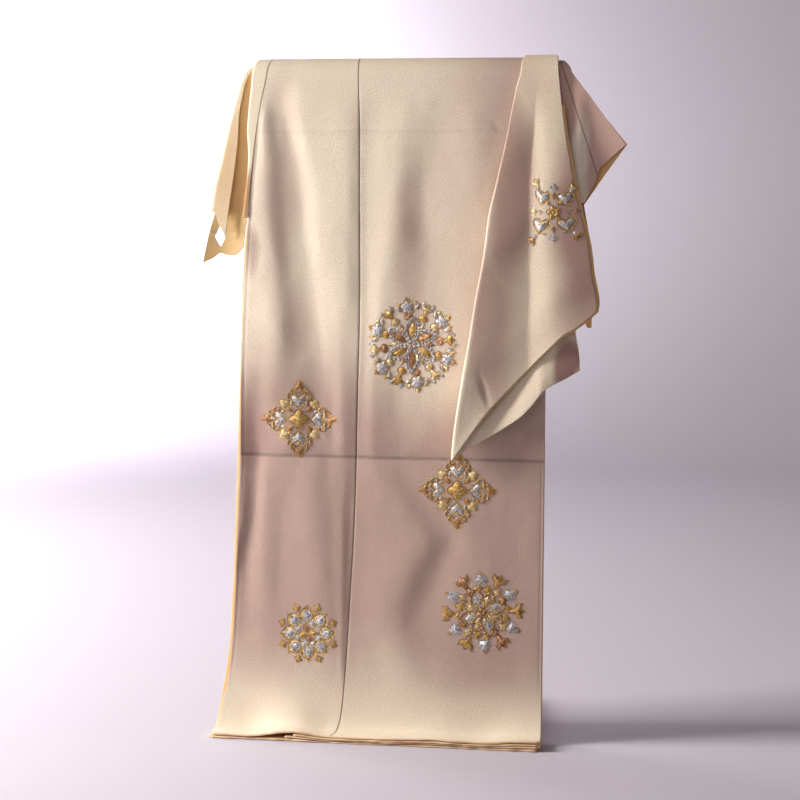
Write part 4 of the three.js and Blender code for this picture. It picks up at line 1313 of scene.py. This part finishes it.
def curl(radius):
    """The line of a tendril that winds in on itself, from its foot."""
    line = []
    for step in range(13):
        t = step / 12
        angle = 2 * math.pi * CURL_TURNS * t - math.pi / 2
        reach = radius * (1 - 0.62 * t)
        line.append((reach * math.cos(angle), reach * math.sin(angle) + radius))
    return line


def embroider(name, pads, cords, face):
    """Works pads, as (outline, rim width, rim thread, fill thread, extra height), and cords, as
    (line, thread), on the cloth. face(x, y) gives the point and the way out at a place in it."""
    mesh = bmesh.new()
    thread = mesh.loops.layers.uv.new("thread")
    for outline, rim, rim_thread, fill_thread, *lift in pads:
        middle = Vector((sum(p[0] for p in outline), sum(p[1] for p in outline))) / len(outline)
        base = mesh.faces.new([mesh.verts.new((x, y, -0.3)) for x, y in outline])
        base.normal_update()
        if base.normal.z > 0:
            base.normal_flip()
        raised = bmesh.ops.extrude_face_region(mesh, geom=[base])
        top = next(item for item in raised["geom"] if isinstance(item, bmesh.types.BMFace))
        bmesh.ops.translate(mesh, verts=top.verts, vec=(0, 0, 0.55 + sum(lift)))
        top.normal_update()
        if top.normal.z < 0:
            top.normal_flip()
        sides = [patch for edge in top.edges for patch in edge.link_faces if patch != top]
        crest = bmesh.ops.inset_region(mesh, faces=[top], thickness=rim / 2, depth=0.35)["faces"]
        inner = bmesh.ops.inset_region(mesh, faces=[top], thickness=rim / 2, depth=-0.25)["faces"]
        crown = bmesh.ops.inset_region(mesh, faces=[top], thickness=min(rim * 0.4, 0.35), depth=0.18)["faces"]
        peak = bmesh.ops.poke(mesh, faces=[top], offset=0.12)["faces"]
        for faces, finish in ((sides + crest + inner, rim_thread), (crown + peak, fill_thread)):
            for patch in faces:
                patch.material_index = finish
        for patch in sides + crest + inner + crown + peak:
            patch.smooth = True
            for loop in patch.loops:
                away = Vector(loop.vert.co.xy) - middle
                around = math.atan2(away.y, away.x) * 6 if patch.material_index == rim_thread else away.x
                loop[thread].uv = (around * MM, away.length * MM)
    for line, finish in cords:
        for start, end in zip(line, line[1:]):
            run = Vector(end) - Vector(start)
            rod = bmesh.ops.create_cone(
                mesh, cap_ends=True, segments=6, radius1=0.75, radius2=0.75, depth=run.length + 0.5
            )
            turn = run.to_3d().to_track_quat("Z", "Y").to_matrix()
            bmesh.ops.transform(mesh, matrix=turn.to_4x4(), verts=rod["verts"])
            middle = (Vector(start) + Vector(end)) / 2
            bmesh.ops.translate(mesh, verts=rod["verts"], vec=(middle.x, middle.y, 0.25))
            for patch in {patch for vertex in rod["verts"] for patch in vertex.link_faces}:
                patch.material_index = finish
                patch.smooth = True
                for loop in patch.loops:
                    loop[thread].uv = (loop.vert.co.x * MM, loop.vert.co.y * MM)
    for vertex in mesh.verts:
        point, out = face(vertex.co.x, vertex.co.y)
        vertex.co = (point + out * vertex.co.z) * MM
    data = bpy.data.meshes.new(name)
    mesh.to_mesh(data)
    mesh.free()
    for finish in THREADS:
        data.materials.append(finish)
    medallion = add_object(name, data)
    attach(medallion, "root")


def on_body(x, z):
    """A medallion's place on the over layer, with its middle at x and height z."""
    slope = math.dist((-OVER["foot"], BEND_TOP), (-OVER["rail"], RAIL_HEIGHT)) / (RAIL_HEIGHT - BEND_TOP)
    drop = (RAIL_HEIGHT - z) * slope
    return lambda a, b: over_face(x + a, drop - b)


def set_out(outline, reach, turn, aside=0.0, lean=0.0):
    """An outline moved out from the middle and turned to point outwards."""
    return spun(outline, *spun([(aside, reach)], turn=turn)[0], turn + lean)


def around(count, reach, outline, first=0.0):
    """Copies of an outline set round the middle."""
    return [set_out(outline, reach, first + 360 / count * step) for step in range(count)]


def swept(outline, bend):
    """Bends an outline sideways towards its tip."""
    length = max(y for _, y in outline)
    return [(x + bend * max(y / length, 0) ** 2, y) for x, y in outline]


def closed(outline):
    return outline + outline[:1]


def tulip(size):
    """A three-pointed head on a narrow foot."""
    shape = [(0.12, -0.6), (0.3, -0.1), (0.62, 0.05), (0.66, 0.6), (0.3, 0.36), (0, 0.74)]
    return [(x * size, y * size) for x, y in shape + [(-x, y) for x, y in shape[-2::-1]]]


# The largest: a six-armed star of silver loops over gold and copper lozenges, in a ring of heads.
snow_pads = [(lobed(6, 6.5, 0.2), 1.2, COPPER, COPPER, 0.3)]
snow_cords = []
for arm in range(6):
    toward, between = 60 * arm + 8, 60 * arm + 38
    outer, inner = swept(leaf(38, 19, 0.7), 7), swept(leaf(33, 13, 0.7), 6)
    snow_cords += [(closed(spun(outer, turn=toward)), SILVER), (closed(set_out(inner, 3, toward)), SILVER)]
    snow_pads += [
        (set_out(ogee(25, 14), 8, toward, 2, -8), 1.2, COPPER, (GOLD, COPPER)[arm % 2]),
        (set_out(ogee(21, 12), 12, between, 2, -6), 1.2, SILVER, (COPPER, PALE)[arm % 2]),
    ]
for outline in around(12, 38, ogee(15, 15), 8):
    snow_pads.append((spun(outline, scale=0.86), 1.0, COPPER, (GOLD, COPPER, PALE)[len(snow_pads) % 3]))
for arm in range(6):
    wide, slim = 60 * arm + 8, 60 * arm + 38
    snow_pads += [
        (set_out(lobed(5, 10.6, 0.3), 51.5, wide), 1.3, GOLD, SILVER),
        (set_out(kite(10, 9.5), 61, wide), 0.9, GOLD, (COPPER, GOLD)[arm % 2]),
        (set_out(tulip(13), 50, slim), 1.0, COPPER, (GOLD, PALE)[arm % 2]),
    ]
    for side in (-1, 1):
        snow_pads += [
            (set_out(leaf(12, 7), 46, wide, side * 9, -side * 46), 0.8, GOLD, SILVER),
            (set_out(kite(9, 8), 55, wide, side * 11.5, -side * 30), 0.8, GOLD, PALE),
            (set_out(kite(8, 7), 57, slim, side * 7), 0.7, SILVER, SILVER),
        ]
embroider("snow_flower_medallion", snow_pads, snow_cords, on_body(9, 543))

# Two crosses: a gold four-petal flower, four silver hearts in gold, tendrils, and three-lobed tips.
cross_pads = [(lobed(4, 14, 0.34), 1.6, COPPER, GOLD), (lobed(4, 5.5, 0.3), 1.0, COPPER, PALE)]
cross_cords = []
for arm in range(4):
    quarter, corner = 90 * arm, 90 * arm + 45
    cross_pads += [
        (set_out(heart(12.5), 24.5, quarter), 2.4, GOLD, SILVER),
        (set_out(kite(7, 6), 24, quarter), 0.8, SILVER, SILVER, 0.4),
        (set_out(kite(7, 7), 38, quarter), 0.9, GOLD, SILVER),
        (set_out(lobed(3, 8.4, 0.4), 45, quarter), 1.3, GOLD, COPPER),
        (set_out(leaf(13, 8.5), 13, corner), 0.9, GOLD, COPPER),
        (set_out(lobed(3, 7.5, 0.34), 29.5, corner), 1.0, GOLD, PALE),
    ]
    for side in (-1, 1):
        for radius, aside, reach, lean in ((5.6, 10, 27.5, -20), (4.6, 4.5, 37.5, -62)):
            tendril = [(side * a, b) for a, b in curl(radius)]
            cross_cords.append((set_out(tendril, reach, quarter, side * aside, side * lean), GOLD))
        cross_pads += [
            (set_out(leaf(9, 4.6), 21, corner, side * 5, -side * 55), 0.8, GOLD, SILVER),
            (set_out(leaf(7, 3.8), 27, corner, side * 6.5, -side * 38), 0.7, COPPER, GOLD),
        ]
for name, x, z in (("left_cross_medallion", -147, 439), ("right_cross_medallion", 72, 346)):
    embroider(name, cross_pads, cross_cords, on_body(x, z))

# A water-lily: eight pointed petals rimmed in gold over silver, with small gold squares between.
lotus_pads = []
for step, outline in enumerate(around(4, 1, leaf(14, 10), 20)):
    lotus_pads.append((outline, 1.0, GOLD, (COPPER, GOLD)[step % 2]))
for arm in range(8):
    petal, between = 45 * arm + 2, 45 * arm + 24.5
    lotus_pads += [
        (set_out(ogee(26, 22), 14.5, petal), 3.0, GOLD, PALE),
        (set_out(ogee(16, 12.5), 19, petal), 1.3, SILVER, SILVER, 0.4),
        (set_out(lobed(4, 5.2, 0.25), 16.5, between), 1.0, SILVER, SILVER),
        (set_out(kite(13, 13), 38.5, between), 0.9, COPPER, GOLD),
    ]
embroider("lotus_medallion", lotus_pads, [], on_body(-134, 142))

# A round one in browner gold: corded loops about a copper eye, a gold ring, twelve heads round it.
star_pads = [(lobed(8, 5, 0.2), 1.2, COPPER, COPPER)]
star_cords = []
for arm in range(4):
    long_turn, short_turn = 90 * arm + 32, 90 * arm + 77
    star_cords.append((closed(spun(swept(leaf(33, 19, 0.7), 7), turn=long_turn)), COPPER))
    star_cords.append((closed(spun(swept(leaf(30, 17, 0.7), 6), turn=short_turn)), GOLD))
    star_pads.append((set_out(ogee(22, 12), 7, long_turn, 1, -6), 1.1, PALE, SILVER))
    star_pads.append((set_out(ogee(20, 11), 7, short_turn, 1, -6), 1.0, GOLD, PALE))
for arm in range(8):
    wide, slim = 45 * arm + 10, 45 * arm + 32.5
    star_pads.append((set_out(kite(15, 14), 34, wide), 1.0, COPPER, (GOLD, PALE)[arm % 2]))
    star_pads.append((set_out(lobed(3, 6.6, 0.34), 32, slim), 0.9, COPPER, (COPPER, GOLD)[arm % 2]))
for arm in range(12):
    turn = 30 * arm + 4
    if arm % 2:
        star_pads.append((set_out(tulip(16), 46.5, turn), 1.2, COPPER, (GOLD, COPPER, GOLD)[arm % 3]))
    else:
        star_pads.append((set_out(lobed(3, 9, 0.3), 45.5, turn), 1.1, SILVER, SILVER))
        star_pads.append((set_out(kite(7.5, 7.5), 54, turn), 0.9, COPPER, GOLD))
embroider("star_flower_medallion", star_pads, star_cords, on_body(108, 180))

# The sleeve's medallion: four hearts round a small flower, worked over its fold.
SLEEVE_SPOT = (0.12, 0.513)


def on_sleeve(a, b):
    share, hang_share = SLEEVE_SPOT
    here = sleeve_point(share, hang_share)
    by_share = sleeve_point(share - 0.02, hang_share) - here
    by_hang = sleeve_point(share, hang_share + 0.02) - here
    area = by_share.x * by_hang.z - by_share.z * by_hang.x
    share -= 0.02 * (a * by_hang.z - b * by_hang.x) / area
    hang_share += 0.02 * (b * by_share.x - a * by_share.z) / area
    point = sleeve_point(share, hang_share)
    across = sleeve_point(share - 0.003, hang_share) - point
    upward = sleeve_point(share, hang_share - 0.003) - point
    out = across.cross(upward).normalized()
    return point + out * PLY / 2, out


sleeve_pads = [(outline, 1.0, COPPER, GOLD) for outline in around(5, 5.4, lobed(3, 4.6, 0.25), 12)]
sleeve_pads.append((lobed(4, 3, 0.3), 0.7, COPPER, PALE))
for side in (-1, 1):
    for level in (-1, 1):
        toward = math.degrees(math.atan2(-side * 17, level * 19))
        inward = toward - side * level * 60
        sleeve_pads += [
            (spun(heart(12), side * 16.5, level * 17.5, side * 9), 2.3, GOLD, SILVER),
            (spun(tulip(9.5), side * 25.5, level * 33, toward), 1.0, GOLD, (COPPER, PALE)[level > 0]),
            (spun(leaf(9, 5), side * 21, level * 26.5, toward), 0.8, SILVER, SILVER),
            (spun(leaf(9, 5), side * 5.5, level * 9.5, toward), 0.8, GOLD, GOLD),
            (spun(leaf(8, 4.4), side * 8, level * 27, inward), 0.8, SILVER, PALE),
        ]
    sleeve_pads += [
        (spun(lobed(4, 5.4, 0.36), side * 28, 0), 0.9, SILVER, (PALE, COPPER)[side > 0]),
        (spun(kite(9, 6), side * 19, 0, 90), 0.9, GOLD, SILVER),
        (spun(lobed(4, 5.2, 0.35), 0, side * 33), 0.9, SILVER, SILVER),
        (spun(kite(10, 6), 0, side * 22), 0.9, GOLD, COPPER),
    ]
embroider("sleeve_medallion", sleeve_pads, [], on_sleeve)

# The display stand: foot, post and round-topped rail in stained hardwood with a satin finish.
stand_wood, wood_tree, wood_shader = new_material("stand_wood", Roughness=0.4)
wood_place = add_node(wood_tree, "ShaderNodeTexCoord").outputs["Object"]
drawn_out = {"Vector": wood_place, "Scale": (0.12, 1, 1)}
wood_grain = add_node(wood_tree, "ShaderNodeMapping", drawn_out).outputs[0]
wood_rings = speckle(wood_tree, wood_grain, 160, 6, Distortion=0.4).outputs["Fac"]
wood_colour = blend(wood_tree, wood_rings, srgb(62, 40, 26), srgb(118, 82, 54))
wood_tree.links.new(wood_colour, wood_shader.inputs["Base Color"])
emboss(wood_tree, wood_shader, wood_rings, 0.15, 0.0005)
for node_name in ("stand_foot", "stand_post", "stand_rail"):
    for stand_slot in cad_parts[node_name].material_slots:
        stand_slot.material = stand_wood
